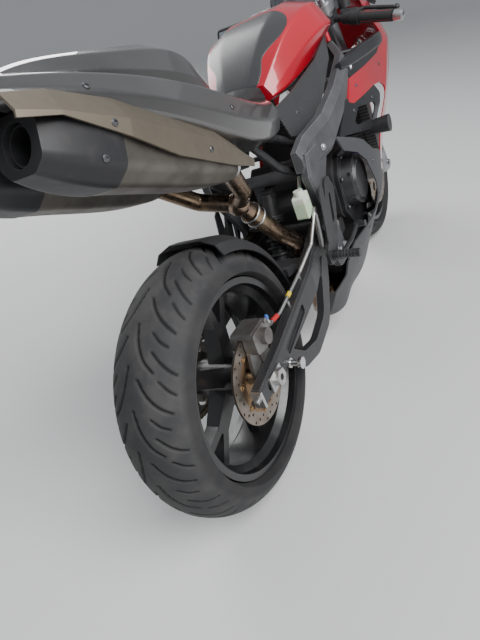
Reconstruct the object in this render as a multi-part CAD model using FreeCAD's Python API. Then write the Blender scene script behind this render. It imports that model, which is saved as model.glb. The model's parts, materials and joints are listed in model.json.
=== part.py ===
"""Sport motorcycle parked on its side stand.

Built in an upright bike frame: x forward from the rear axle, y to the left, z up from the
ground, in millimetres. Every solid is then leaned onto the side stand and moved so that the
origin is the middle of the footprint on the floor.
"""
import FreeCAD, Part
import math
import os

# Wheels and steering geometry
WHEELBASE = 1395.0
REAR_R = 315.0             # rear tyre, outer radius
REAR_HALF_W = 95.0
FRONT_R = 300.0
FRONT_HALF_W = 60.0
BEAD_R = 222.0             # tyre bead seat of a 17 inch rim
RIM_WALL = 5.0
FLANGE_H = 9.0
REAR_RIM_HALF = 79.0       # outside of the rim flange
FRONT_RIM_HALF = 48.0
RAKE = 24.0
TRAIL = 97.0
LEAN = 12.0                # to the left, onto the stand
STEER_REST = 0.0           # steering angle at rest, to the left
STEER_LOCK = 24.0
RUN_GAP = 6.0              # clearance between pieces that move past each other
SEAT_GAP = 0.3             # clearance between pieces that seat on each other

# Frame, swingarm and engine places
PIVOT_X, PIVOT_Z = 575.0, 404.0
AXLE_R = 12.5
ARM_INNER = 122.0          # inside face of the left swingarm leg, outside the chain
ARM_INNER_RIGHT = 110.0    # inside face of the right leg, beside the disc
ARM_THICK = 26.0
ARM_H = 62.0
FRAME_OUT_REAR = 146.0     # outside of the frame at the swingarm pivot
FRAME_OUT_MID = 205.0      # outside of the spars beside the tank
PLATE_THICK = 24.0         # of the frame at the swingarm pivot
SPAR_THICK = 34.0
HEAD_R = 36.0
ENGINE_HALF = 150.0
CLUTCH_X, CLUTCH_Z = 742.0, 474.0
CYLINDER_X, CYLINDER_Z = 810.0, 420.0

# Brakes and drive
REAR_DISC_R = 110.0
REAR_DISC_Y = -92.0
REAR_DISC_T = 5.0
FRONT_DISC_R = 160.0
FRONT_DISC_Y = 66.0
FRONT_DISC_T = 5.0
SPROCKET_Y = 108.0
SPROCKET_R = 109.0         # pitch radius of the rear sprocket
SMALL_SPROCKET_R = 42.0
SMALL_SPROCKET_X, SMALL_SPROCKET_Z = 650.0, 408.0
SPROCKET_T = 6.5
CHAIN_PITCH = 15.875
CHAIN_PLATE = 2.5
CHAIN_GAP = 10.5           # between the side plates
CHAIN_IN = 7.0             # from the pitch line to the inner edge of the plates

FILLER_X, FILLER_Z = 824.0, 534.0
PLATE_HOLES = 110.0         # between the bolt holes of the plate bracket
HANGER_Y = 158.3            # inside of the footrest hangers

# Fork
FORK_Y = 104.0
FORK_UP_R = 27.0
FORK_LOW_R = 21.5
CLAMP_T = 26.0
TOP_CLAMP_L = 690.0        # along the leg from the axle
LOW_CLAMP_L = 470.0
FORK_TOP_L = 723.0
STEM_R = 17.0

# Bodywork walls
SKIN = 4.0

STRAIGHT = math.radians(179.5)   # a corner flatter than this is no corner

SHAPES = {}


def V(x, y, z):
    return FreeCAD.Vector(x, y, z)


X_AXIS, Y_AXIS, Z_AXIS = V(1, 0, 0), V(0, 1, 0), V(0, 0, 1)


def fuse(shapes):
    """One solid, or several that don't touch, from overlapping shapes."""
    first, rest = shapes[0], shapes[1:]
    return first.multiFuse(rest).removeSplitter() if rest else first


def mirrored(shape):
    return shape.mirror(V(0, 0, 0), Y_AXIS)


def box(x, y, z):
    """Box from (low, high) pairs along each axis."""
    return Part.makeBox(x[1] - x[0], y[1] - y[0], z[1] - z[0], V(x[0], y[0], z[0]))


def rod(a, b, radius):
    """Round bar from point a to point b."""
    return Part.makeCylinder(radius, (b - a).Length, a, b - a)


def rounded_wire(points, radii):
    """Closed wire through points, with an arc of the given radius at each corner."""
    kept = []
    for i, p in enumerate(points):
        before, after = points[i - 1], points[(i + 1) % len(points)]
        if (before - p).getAngle(after - p) < STRAIGHT:
            kept.append((p, radii[i]))
    points, radii = [k[0] for k in kept], [k[1] for k in kept]
    n = len(points)
    starts, ends, mids = [], [], []
    for i, p in enumerate(points):
        a, b = points[i - 1], points[(i + 1) % n]
        u, w = (a - p).normalize(), (b - p).normalize()
        angle = u.getAngle(w)
        r = radii[i]
        cut = min(r / math.tan(angle / 2), 0.45 * (a - p).Length, 0.45 * (b - p).Length)
        r = cut * math.tan(angle / 2)
        centre = p + (u + w).normalize() * (r / math.sin(angle / 2))
        starts.append(p + u * cut)
        ends.append(p + w * cut)
        mids.append(centre + (p - centre).normalize() * r)
    edges = []
    for i in range(n):
        edges.append(Part.Arc(starts[i], mids[i], ends[i]).toShape())
        edges.append(Part.LineSegment(ends[i], starts[(i + 1) % n]).toShape())
    return Part.Wire(edges)


def side_plate(outline, y0, y1, radius=8.0):
    """Plate with a side-view outline of (x, z) or (x, z, corner radius), from y0 to y1."""
    points = [V(p[0], y0, p[1]) for p in outline]
    radii = [p[2] if len(p) > 2 else radius for p in outline]
    face = Part.Face(rounded_wire(points, radii))
    return face.extrude(V(0, y1 - y0, 0))


def loft(wires, ruled=False):
    return Part.makeLoft(wires, True, ruled)


def section_wire(x, half, radius):
    """Closed cross-section at station x from half points (y, z), top to bottom, mirrored."""
    right = [V(x, -y, z) for y, z in half]
    left = [V(x, y, z) for y, z in reversed(half)]
    return rounded_wire(right + left, [radius] * (2 * len(half)))


def pipe(points, radius, bend):
    """Round pipe along straight runs joined by tangent arcs of radius bend."""
    edges = []
    at = points[0]
    for i in range(1, len(points) - 1):
        p = points[i]
        u, w = (points[i - 1] - p).normalize(), (points[i + 1] - p).normalize()
        angle = u.getAngle(w)
        room = 0.48 * min((points[i - 1] - p).Length, (points[i + 1] - p).Length)
        cut = min(bend / math.tan(angle / 2), room)
        r = cut * math.tan(angle / 2)
        centre = p + (u + w).normalize() * (r / math.sin(angle / 2))
        start, end = p + u * cut, p + w * cut
        middle = centre + (p - centre).normalize() * r
        edges.append(Part.LineSegment(at, start).toShape())
        edges.append(Part.Arc(start, middle, end).toShape())
        at = end
    edges.append(Part.LineSegment(at, points[-1]).toShape())
    path = Part.Wire(edges)
    ring = Part.Wire(Part.makeCircle(radius, points[0], points[1] - points[0]))
    return path.makePipeShell([ring], True, False)


def turned(profile, centre_x, centre_z):
    """Solid turned about the wheel axis from (radius, y) points."""
    points = [V(centre_x, y, centre_z + r) for r, y in profile]
    face = Part.Face(Part.makePolygon(points + points[:1]))
    return face.revolve(V(centre_x, 0, centre_z), Y_AXIS, 360)


def around(shape, count, x, z, start=0.0):
    """Copies of shape spaced evenly about a wheel axis."""
    out = []
    for i in range(count):
        copy = shape.copy()
        copy.rotate(V(x, 0, z), Y_AXIS, start + 360.0 * i / count)
        out.append(copy)
    return out


# Steering axis: unit vector up the axis, and points along the fork legs

RAKE_RAD = math.radians(RAKE)
STEER_UP = V(-math.sin(RAKE_RAD), 0, math.cos(RAKE_RAD))
STEER_FRONT = V(math.cos(RAKE_RAD), 0, math.sin(RAKE_RAD))
STEER_GROUND = V(WHEELBASE + TRAIL, 0, 0)
FORK_OFFSET = FRONT_R * math.sin(RAKE_RAD) - TRAIL * math.cos(RAKE_RAD)
FRONT_AXLE = V(WHEELBASE, 0, FRONT_R)
REAR_AXLE = V(0, 0, REAR_R)


def fork_point(along, y=0.0, ahead=0.0):
    """Point at a distance up the fork leg from the axle, offset sideways and forward."""
    return FRONT_AXLE + STEER_UP * along + V(0, y, 0) + STEER_FRONT * ahead


def axis_point(along):
    """Point on the steering axis level with a place up the fork leg."""
    return fork_point(along, 0, -FORK_OFFSET)


# Wheels


def tyre(radius, half, rim_half, cx, cz):
    """Tyre ring: chords along the crown, then shoulder, sidewall and bead."""
    depth = 0.9 * half
    crown = []
    for step in range(-3, 4):
        share = step / 3.0
        angle = share * math.radians(80)
        crown.append((radius - depth * (1 - math.cos(angle)), half * math.sin(angle) / math.sin(math.radians(80))))
    seat = rim_half - RIM_WALL - SEAT_GAP
    over = BEAD_R + FLANGE_H + 3
    profile = [(BEAD_R, -seat), (over, -seat)] + crown + [(over, seat), (BEAD_R, seat)]
    return turned(profile, cx, cz)


def rim(half, hub_r, hub_half, spokes, spoke_t, cx, cz, bore_r, start):
    """Cast rim: barrel with flanges and a drop centre, hub and forked spokes."""
    flange = BEAD_R + FLANGE_H
    well = BEAD_R - 16
    barrel = turned(
        [
            (flange, -half), (flange, -half + RIM_WALL), (BEAD_R - SEAT_GAP, -half + RIM_WALL),
            (BEAD_R - SEAT_GAP, -half + 22), (well, -half + 34), (well, half - 34),
            (BEAD_R - SEAT_GAP, half - 22), (BEAD_R - SEAT_GAP, half - RIM_WALL),
            (flange, half - RIM_WALL), (flange, half), (BEAD_R - 6, half), (BEAD_R - 8, half - 18),
            (well - 6, half - 34), (well - 6, -half + 34), (BEAD_R - 8, -half + 18), (BEAD_R - 6, -half),
        ],
        cx, cz,
    )
    hub = turned([(bore_r, -hub_half), (hub_r, -hub_half), (hub_r, hub_half), (bore_r, hub_half)], cx, cz)
    fork_r = 0.62 * well

    def bar(r0, w0, t0, r1, w1, t1, turn0, turn1):
        wires = []
        for r, w, t, turn in ((r0, w0, t0, turn0), (r1, w1, t1, turn1)):
            a = math.radians(turn)
            mid = V(cx + r * math.sin(a), 0, cz + r * math.cos(a))
            side = V(math.cos(a), 0, -math.sin(a)) * (w / 2)
            deep = V(0, t / 2, 0)
            wires.append(Part.makePolygon([mid + side + deep, mid - side + deep, mid - side - deep,
                                           mid + side - deep, mid + side + deep]))
        return loft(wires, True)

    trunk = bar(hub_r - 8, 46, spoke_t + 14, fork_r + 6, 40, spoke_t, 0, 0)
    left = bar(fork_r - 4, 22, spoke_t, well - 3, 20, spoke_t - 6, -5, -11)
    right = bar(fork_r - 4, 22, spoke_t, well - 3, 20, spoke_t - 6, 5, 11)
    one = fuse([trunk, left, right])
    return fuse([barrel, hub] + around(one, spokes, cx, cz, start))


def disc(radius, inner, thick, y, cx, cz, holes):
    """Brake disc with rows of small holes."""
    ring = turned([(inner, y - thick / 2), (radius, y - thick / 2), (radius, y + thick / 2), (inner, y + thick / 2)], cx, cz)
    drills = []
    for row, count in enumerate((holes, holes, holes)):
        r = inner + (radius - inner) * (0.45 + 0.2 * row)
        hole = Part.makeCylinder(3.2, thick + 2, V(cx, y - thick / 2 - 1, cz + r), Y_AXIS)
        drills += around(hole, count, cx, cz, 360.0 / count * row / 3)
    return ring.cut(Part.makeCompound(drills))


def rear_wheel():
    hub_half = 68.0
    SHAPES["rear_tyre"] = tyre(REAR_R, REAR_HALF_W, REAR_RIM_HALF, 0, REAR_R)
    SHAPES["rear_rim"] = rim(REAR_RIM_HALF, 46, hub_half, 5, 34, 0, REAR_R, AXLE_R + 0.5, 20)
    face = hub_half + SEAT_GAP
    inner_y = REAR_DISC_Y + REAR_DISC_T / 2
    rotor = disc(REAR_DISC_R, 72, REAR_DISC_T, REAR_DISC_Y, 0, REAR_R, 12)
    seat = turned([(AXLE_R + 6, -face), (60, -face), (60, inner_y + 3), (78, inner_y + 2),
                   (78, inner_y - 0.5), (56, inner_y - 0.5), (54, -face - 4), (AXLE_R + 6, -face - 4)], 0, REAR_R)
    windows = around(Part.makeCylinder(9, 60, V(0, -face - 50, REAR_R + 66), Y_AXIS), 6, 0, REAR_R)
    SHAPES["rear_disc"] = fuse([rotor, seat]).cut(Part.makeCompound(windows))
    SHAPES["rear_sprocket"] = sprocket()


def sprocket():
    """Rear sprocket: teeth, six lightening windows and its carrier boss."""
    teeth = 44
    y0, y1 = SPROCKET_Y - SPROCKET_T / 2, SPROCKET_Y + SPROCKET_T / 2
    root, tip = SPROCKET_R - 5.5, SPROCKET_R + 3.0
    points = []
    for i in range(teeth):
        for share, r in ((-0.32, root), (-0.12, tip), (0.12, tip), (0.32, root)):
            a = 2 * math.pi * (i + share) / teeth
            points.append(V(r * math.sin(a), y0, REAR_R + r * math.cos(a)))
    plate = Part.Face(Part.makePolygon(points + points[:1])).extrude(V(0, y1 - y0, 0))
    window = Part.makeCylinder(17, SPROCKET_T + 2, V(0, y0 - 1, REAR_R + 76), Y_AXIS)
    plate = plate.cut(Part.makeCompound(around(window, 6, 0, REAR_R)))
    boss_in = 68.0 + SEAT_GAP
    carrier = turned([(AXLE_R + 0.5, boss_in), (62, boss_in), (58, y0 + 0.5), (AXLE_R + 0.5, y0 + 0.5)], 0, REAR_R)
    hole = Part.makeCylinder(AXLE_R + 0.5, SPROCKET_T + 2, V(0, y0 - 1, REAR_R), Y_AXIS)
    return fuse([plate.cut(hole), carrier])


def front_wheel():
    hub_half = 54.0
    x, z = FRONT_AXLE.x, FRONT_AXLE.z
    SHAPES["front_tyre"] = tyre(FRONT_R, FRONT_HALF_W, FRONT_RIM_HALF, x, z)
    SHAPES["front_rim"] = rim(FRONT_RIM_HALF, 34, hub_half, 5, 26, x, z, AXLE_R + 0.5, 0)
    inner_y = FRONT_DISC_Y - FRONT_DISC_T / 2
    face = hub_half + SEAT_GAP
    rotor = disc(FRONT_DISC_R, 128, FRONT_DISC_T, FRONT_DISC_Y, x, z, 18)
    carrier = turned([(AXLE_R + 6, face), (60, face), (134, inner_y), (134, inner_y + FRONT_DISC_T - 1),
                      (60, inner_y + FRONT_DISC_T), (AXLE_R + 6, inner_y + FRONT_DISC_T)], x, z)
    window = Part.makeCylinder(20, 40, V(x, face - 10, z + 96), Y_AXIS)
    side = fuse([rotor, carrier]).cut(Part.makeCompound(around(window, 8, x, z)))
    SHAPES["front_discs"] = Part.makeCompound([side, mirrored(side)])


# Drive chain


def chain():
    """Closed chain: side plates scalloped at each link, joined by rollers on the straight runs."""
    small = V(SMALL_SPROCKET_X, 0, SMALL_SPROCKET_Z)
    big = REAR_AXLE
    gap = small - big
    length = gap.Length
    unit = V(gap.x / length, 0, gap.z / length)
    normal = V(-unit.z, 0, unit.x)
    spread = math.asin((SPROCKET_R - SMALL_SPROCKET_R) / length)

    def tangent(centre, radius, upper):
        side = 1 if upper else -1
        direction = unit * math.sin(spread) + normal * (side * math.cos(spread))
        return centre + direction * radius

    def loop(off_pin, off_mid):
        """Points around the chain line: pins and mid-links, offset outward."""
        points = []
        top_a, top_b = tangent(big, SPROCKET_R, True), tangent(small, SMALL_SPROCKET_R, True)
        low_a, low_b = tangent(big, SPROCKET_R, False), tangent(small, SMALL_SPROCKET_R, False)
        run = (top_b - top_a).Length
        links = int(round(run / CHAIN_PITCH))
        for k in range(2 * links):
            out = off_pin if k % 2 == 0 else off_mid
            points.append(top_a + (top_b - top_a) * (k / (2.0 * links)) + (top_a - big).normalize() * out)
        a0, sweep = angle_of(small, top_b), math.pi - 2 * spread
        n = int(round(sweep * SMALL_SPROCKET_R / CHAIN_PITCH))
        for k in range(2 * n):
            out = off_pin if k % 2 == 0 else off_mid
            points.append(polar(small, SMALL_SPROCKET_R + out, a0 - sweep * k / (2.0 * n)))
        for k in range(2 * links):
            out = off_pin if k % 2 == 0 else off_mid
            points.append(low_b + (low_a - low_b) * (k / (2.0 * links)) + (low_a - big).normalize() * out)
        a0, sweep = angle_of(big, low_a), math.pi + 2 * spread
        n = int(round(sweep * SPROCKET_R / CHAIN_PITCH))
        for k in range(2 * n):
            out = off_pin if k % 2 == 0 else off_mid
            points.append(polar(big, SPROCKET_R + out, a0 - sweep * k / (2.0 * n)))
        return points, (top_a, top_b, low_a, low_b, links)

    def angle_of(centre, point):
        return math.atan2(point.z - centre.z, point.x - centre.x)

    def polar(centre, radius, angle):
        return centre + V(math.cos(angle), 0, math.sin(angle)) * radius

    outer, ends = loop(7.6, 5.4)
    top_a, top_b, low_a, low_b, links = ends
    inner_r = CHAIN_IN
    inside = fuse([
        Part.makeCylinder(SPROCKET_R - inner_r, 60, big - V(0, 30, 0), Y_AXIS),
        Part.makeCylinder(SMALL_SPROCKET_R - inner_r, 60, small - V(0, 30, 0), Y_AXIS),
        Part.Face(Part.makePolygon([
            tangent(big, SPROCKET_R - inner_r, True) - V(0, 30, 0),
            tangent(small, SMALL_SPROCKET_R - inner_r, True) - V(0, 30, 0),
            tangent(small, SMALL_SPROCKET_R - inner_r, False) - V(0, 30, 0),
            tangent(big, SPROCKET_R - inner_r, False) - V(0, 30, 0),
            tangent(big, SPROCKET_R - inner_r, True) - V(0, 30, 0),
        ])).extrude(V(0, 60, 0)),
    ])
    band = Part.Face(Part.makePolygon(outer + outer[:1])).extrude(V(0, CHAIN_PLATE, 0)).cut(inside)
    y0 = SPROCKET_Y - CHAIN_GAP / 2 - CHAIN_PLATE
    y1 = SPROCKET_Y + CHAIN_GAP / 2
    plates = [band.translated(V(0, y0, 0)), band.translated(V(0, y1, 0))]
    rollers = []
    for a, b in ((top_a, top_b), (low_b, low_a)):
        for k in range(3, links - 2, 3):
            at = a + (b - a) * (k / float(links))
            at.y = y0 + CHAIN_PLATE / 2
            rollers.append(Part.makeCylinder(4.0, CHAIN_GAP + CHAIN_PLATE, at, Y_AXIS))
    return fuse(plates + rollers)


# Frame, engine and rear suspension


def frame():
    """Twin-spar frame: headstock, two deep spars bowed round the engine, pivot plates."""
    head_low, head_high = axis_point(LOW_CLAMP_L + RUN_GAP), axis_point(TOP_CLAMP_L - RUN_GAP)
    head = rod(head_low, head_high, HEAD_R)
    slant = math.tan(RAKE_RAD)

    def spar_section(x, z_low, z_high, y_out, thick, lean=0.0):
        """Section at station x; lean tips it back towards the line of the headstock."""
        mid = -(y_out - thick / 2)
        pts = []
        for dy, z in ((-0.5, z_low + 14), (-0.5, z_high - 22), (-0.1, z_high), (0.5, z_high), (0.5, z_low), (-0.2, z_low)):
            back = lean * slant * (z - (z_low + z_high) / 2)
            pts.append(V(x - back, mid + dy * thick, z))
        return Part.makePolygon(pts + pts[:1])

    out, t = FRAME_OUT_MID, SPAR_THICK
    head_mid = (head_low + head_high) * 0.5
    spar = loft([
        spar_section(head_mid.x - 4, head_low.z + 26, head_high.z - 24, 46, 40, 1.0),
        spar_section(1056, 748, 858, 92, t, 0.5),
        spar_section(960, 736, 848, 164, t),
        spar_section(880, 722, 812, out, t),
        spar_section(740, 672, 756, out, t),
        spar_section(620, 612, 712, out - 15, t),
        spar_section(500, 604, 694, out - 39, t - 6),
        spar_section(442, 618, 672, out - 45, t - 8),
    ], True)

    def leg_section(z, x_rear, x_front, y_out):
        """Section at height z of the leg that comes down from the elbow past the pivot."""
        pts = [V(x_rear, -y_out + PLATE_THICK, z), V(x_rear, -y_out + 5, z), V(x_rear + 8, -y_out, z),
               V(x_front - 8, -y_out, z), V(x_front, -y_out + 5, z), V(x_front, -y_out + PLATE_THICK, z)]
        return Part.makePolygon(pts + pts[:1])

    plate_in, plate_out = FRAME_OUT_REAR - PLATE_THICK, FRAME_OUT_REAR
    leg = loft([
        leg_section(660, 452, 640, 172),
        leg_section(600, 446, 604, 166),
        leg_section(542, 480, 566, 158),
        leg_section(452, 528, 588, plate_out + 2),
        leg_section(367, 506, 612, plate_out),
        leg_section(286, 540, 626, plate_out),
    ], True)
    hole = rod(V(PIVOT_X, -plate_in + 2, PIVOT_Z), V(PIVOT_X, -plate_out - 4, PIVOT_Z), 15)
    hanger = rod(V(905, -ENGINE_HALF + 20, 600), V(900, -out + t + 10, 745), 13)
    side = fuse([spar, leg, hanger]).cut(hole)
    low_tube = rod(V(PIVOT_X - 24, -plate_in - 4, 308), V(PIVOT_X - 24, plate_in + 4, 308), 13)
    upper_tube = rod(V(520, -plate_in - 20, 600), V(520, plate_in + 20, 600), 18)
    bore = rod(head_low - STEER_UP * 60, head_high + STEER_UP * 60, STEM_R + 3)
    trim_low = rod(head_low - STEER_UP * 60, head_low, 90)
    trim_high = rod(head_high, head_high + STEER_UP * 60, 90)
    whole = fuse([head, side, mirrored(side), low_tube, upper_tube])
    return whole.cut(Part.makeCompound([trim_low, trim_high])).cut(bore)


def engine():
    """Engine block: sump, crankcase, inclined cylinders and head, and gearbox."""
    w = ENGINE_HALF
    case = side_plate([(708, 300), (708, 560), (740, 585), (810, 560), (905, 430), (890, 300), (840, 240), (718, 240)],
                      -w, w, 18)
    clutch_side = side_plate([(640, 400, 30), (640, 540, 30), (700, 582, 16), (724, 580), (724, 360)],
                             -w, -gear_side(), 8)
    gearbox = side_plate([(614, 470, 20), (720, 505), (720, 330), (619, 345, 20)], -gear_side(), gear_side(), 8)
    lug = side_plate([(600, 352), (600, 384), (660, 400), (660, 350)], -140, -124, 6)
    sump = side_plate([(660, 250), (860, 250), (840, 190), (800, 170), (700, 170)], -80, 80, 14)
    slope = math.radians(40)
    base, up = V(CYLINDER_X, 0, CYLINDER_Z), V(math.sin(slope), 0, math.cos(slope))
    ahead = V(math.cos(slope), 0, -math.sin(slope))

    def tilted(length0, length1, half_x, half_y):
        pts = [base + up * a + ahead * b for a, b in
               ((length0, -half_x), (length1, -half_x), (length1, half_x), (length0, half_x))]
        pts = [p - V(0, half_y, 0) for p in pts]
        return Part.Face(Part.makePolygon(pts + pts[:1])).extrude(V(0, 2 * half_y, 0))

    barrel = tilted(-30, 120, 72, w - 10)
    fins = [tilted(70 + 16 * i, 75 + 16 * i, 77, w - 6) for i in range(3)]
    head_block = tilted(118, 200, 84, w - 4)
    cover = tilted(198, 232, 66, w - 12)
    shaft = rod(V(SMALL_SPROCKET_X, 0, SMALL_SPROCKET_Z), V(SMALL_SPROCKET_X, SPROCKET_Y + 14, SMALL_SPROCKET_Z), 13)
    half_chain = CHAIN_GAP / 2 + CHAIN_PLATE
    pinion = rod(V(SMALL_SPROCKET_X, SPROCKET_Y - half_chain, SMALL_SPROCKET_Z),
                 V(SMALL_SPROCKET_X, SPROCKET_Y + half_chain, SMALL_SPROCKET_Z), SMALL_SPROCKET_R - CHAIN_IN - SEAT_GAP)
    return fuse([case, clutch_side, gearbox, lug, sump, barrel, head_block, cover, shaft, pinion] + fins)


def clutch_cover():
    """Right cover: round clutch dome with ribs, its flange, bolts and the crank end cover."""
    y = -ENGINE_HALF - SEAT_GAP
    cx, cz, r = CLUTCH_X, CLUTCH_Z, 84.0
    flange = side_plate([(646, 410), (646, 520), (690, 572), (800, 572), (858, 520), (892, 430), (884, 360), (820, 318), (716, 330)],
                        y, y - 14, 26)
    dome = Part.makeCone(r, r - 10, 34, V(cx, y - 12, cz), V(0, -1, 0))
    face = Part.makeCone(r - 18, r - 24, 10, V(cx, y - 44, cz), V(0, -1, 0))
    rib = box((cx - r + 6, cx - r + 30), (y - 44, y - 10), (cz - 7, cz + 7))
    crank_end = Part.makeCone(42, 36, 22, V(838, y - 12, 392), V(0, -1, 0))
    spots = ((656, 420), (656, 508), (696, 562), (792, 562), (856, 500), (882, 424), (872, 362), (800, 330), (722, 340))
    bolts = [Part.makeCylinder(6, 22, V(x, y, z), V(0, -1, 0)) for x, z in spots]
    boss = Part.makeCylinder(21, 20, V(FILLER_X, y, FILLER_Z), V(0, -1, 0))
    return fuse([flange, dome, face, crank_end, boss] + around(rib, 6, cx, cz, 30) + bolts)


def filler_cap():
    """Oil filler cap with a grip bar, screwed into its boss."""
    y = -ENGINE_HALF - SEAT_GAP - 20 - SEAT_GAP
    cap = Part.makeCylinder(18, 9, V(FILLER_X, y, FILLER_Z), V(0, -1, 0))
    grip = box((FILLER_X - 4, FILLER_X + 4), (y - 19, y - 8), (FILLER_Z - 14, FILLER_Z + 14))
    return fuse([cap, grip])


def generator_cover():
    """Left cover over the generator, with its flange and bolts."""
    y = ENGINE_HALF + SEAT_GAP
    flange = side_plate([(715, 290), (715, 430), (770, 474), (868, 440), (880, 330), (800, 262)], y, y + 12, 24)
    dome = Part.makeCone(66, 54, 34, V(800, y + 10, 366), V(0, 1, 0))
    spots = ((728, 300), (728, 424), (775, 458), (856, 430), (866, 336), (800, 276))
    bolts = [Part.makeCylinder(5.5, 18, V(x, y, z), V(0, 1, 0)) for x, z in spots]
    return fuse([flange, dome] + bolts)


def sprocket_guard():
    """Left cover beside the small sprocket."""
    y = SPROCKET_Y + CHAIN_GAP / 2 + CHAIN_PLATE + RUN_GAP
    plate = side_plate([(626, 352), (626, 462), (668, 478), (700, 452), (700, 350), (660, 338)], y, y + 8, 12)
    foot = rod(V(686, gear_side(), 352), V(686, y + 2, 352), 6)
    foot_high = rod(V(668, gear_side(), 468), V(668, y + 2, 468), 7)
    return fuse([plate, foot, foot_high])


def gear_side():
    """Outside of the gearbox, inside the frame plates and the chain."""
    return FRAME_OUT_REAR - 24 - RUN_GAP - 20


def arm_side(yi):
    """Right swingarm leg with its brace and neck, its inside face at yi beside the axle."""
    yo = yi + ARM_THICK

    def leg_section(x, z, high, y_in, y_out):
        pts = [V(x, -y_in, z - high / 2), V(x, -y_in, z + high / 2), V(x, -y_out + 5, z + high / 2),
               V(x, -y_out, z + high / 2 - 8), V(x, -y_out, z - high / 2 + 8), V(x, -y_out + 5, z - high / 2)]
        return Part.makePolygon(pts + pts[:1])

    leg = loft([leg_section(-68, REAR_R - 3, 46, yi, yo), leg_section(60, REAR_R + 4, ARM_H, yi, yo),
                leg_section(330, 362, ARM_H + 16, 106, 140), leg_section(470, 382, ARM_H + 16, 88, 120),
                leg_section(PIVOT_X - 20, PIVOT_Z, 50, 76, 112)], True)
    slot = side_plate([(-40, REAR_R - 13), (-40, REAR_R + 13), (34, REAR_R + 13), (34, REAR_R - 13)],
                      -yi + 2, -yo - 2, 12)
    window = side_plate([(86, REAR_R - 12), (84, REAR_R + 22), (230, 360), (230, 332)], -yo - 20, -yo + 7, 9)
    brace = side_plate(
        [(70, 296, 4), (150, 214, 40), (240, 188, 70), (360, 206, 70), (440, 300, 40), (470, 352, 10),
         (440, 378, 10), (400, 330, 40), (340, 246, 60), (250, 226, 60), (170, 250, 40), (104, 312, 4)],
        -yi - 2, -yo + 3, 6)
    neck = side_plate([(400, 320), (400, 400), (480, 410), (480, 346)], -88, -yo + 6, 8)
    return fuse([leg, brace, neck]).cut(slot).cut(window)


def swingarm():
    """Braced swingarm: boxed legs, cross member, lower braces and pivot tube."""
    cross = box((338, 402), (-108, 108), (330, 400))
    pivot_tube = rod(V(PIVOT_X, -116, PIVOT_Z), V(PIVOT_X, 116, PIVOT_Z), 27)
    pin = rod(V(PIVOT_X, -130, PIVOT_Z), V(PIVOT_X, 130, PIVOT_Z), 10)
    shock_lug = side_plate([(396, 336), (396, 372), (430, 352), (430, 340)], -26, 26, 4)
    sides = [arm_side(ARM_INNER_RIGHT), mirrored(arm_side(ARM_INNER))]
    return fuse(sides + [cross, pivot_tube, shock_lug]).cut(pin)


def axle_end(yi):
    """Right end of the rear axle: adjuster block, its slider and the nut, then the end cap."""
    yo = yi + ARM_THICK
    block = side_plate([(-34, REAR_R - 20), (-34, REAR_R + 20), (26, REAR_R + 20), (26, REAR_R - 20)],
                       -yo - SEAT_GAP, -yo - 6, 4)
    slider = side_plate([(-32, REAR_R - 12), (-32, REAR_R + 12), (24, REAR_R + 12), (24, REAR_R - 12)],
                        -yi - 1, -yo - 1, 10)
    nut = prism_nut(V(0, -yo - 5, REAR_R), V(0, -1, 0), 21, 12)
    end = box((-76, -68 - SEAT_GAP), (-yo, -yi), (REAR_R - 24, REAR_R + 18))
    bolt = rod(V(-86, -(yi + yo) / 2, REAR_R - 3), V(-72, -(yi + yo) / 2, REAR_R - 3), 6)
    return [block, slider, nut], fuse([end, bolt])


def axle_ends():
    """Rear axle with adjuster blocks, end caps and nuts, and the swingarm pivot pin."""
    right, left = ARM_INNER_RIGHT, ARM_INNER
    shaft = rod(V(0, -right - ARM_THICK - 12, REAR_R), V(0, left + ARM_THICK + 12, REAR_R), AXLE_R)
    spacer_r = rod(V(0, -right + SEAT_GAP, REAR_R), V(0, -72.6, REAR_R), AXLE_R + 5)
    spacer_l = rod(V(0, left - SEAT_GAP, REAR_R), V(0, SPROCKET_Y + SPROCKET_T / 2 + SEAT_GAP, REAR_R), AXLE_R + 5)
    right_parts, right_cap = axle_end(right)
    left_parts, left_cap = axle_end(left)
    body = fuse([shaft, spacer_r, spacer_l] + right_parts + [mirrored(part) for part in left_parts])
    body = body.cut(rod(V(0, -200, REAR_R), V(0, 200, REAR_R), 8))
    pivot = rod(V(PIVOT_X, -FRAME_OUT_REAR - 4, PIVOT_Z), V(PIVOT_X, FRAME_OUT_REAR + 4, PIVOT_Z), 9.7)
    heads = [rod(V(PIVOT_X, s * (FRAME_OUT_REAR - 16), PIVOT_Z), V(PIVOT_X, s * (FRAME_OUT_REAR + 6), PIVOT_Z), 14.7)
             for s in (-1, 1)]
    return Part.makeCompound([body, right_cap, mirrored(left_cap), fuse([pivot] + heads)])


def prism_nut(at, direction, radius, height):
    """Hexagon nut standing on a face."""
    u = direction.cross(V(0.3, 0, 1)).normalize()
    w = direction.cross(u).normalize()
    pts = [at + u * (radius * math.cos(math.pi * k / 3)) + w * (radius * math.sin(math.pi * k / 3)) for k in range(6)]
    return Part.Face(Part.makePolygon(pts + pts[:1])).extrude(direction * height)


def spool(yi):
    """Right paddock stand spool, screwed into the swingarm leg whose inside face is at yi."""
    y = -(yi + ARM_THICK) - SEAT_GAP
    x, z = 74.0, 292.0
    return fuse([Part.makeCylinder(r, t, V(x, y - at, z), V(0, -1, 0))
                 for r, at, t in ((12, 0, 4), (8, 3, 24), (14, 26, 9))])


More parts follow.
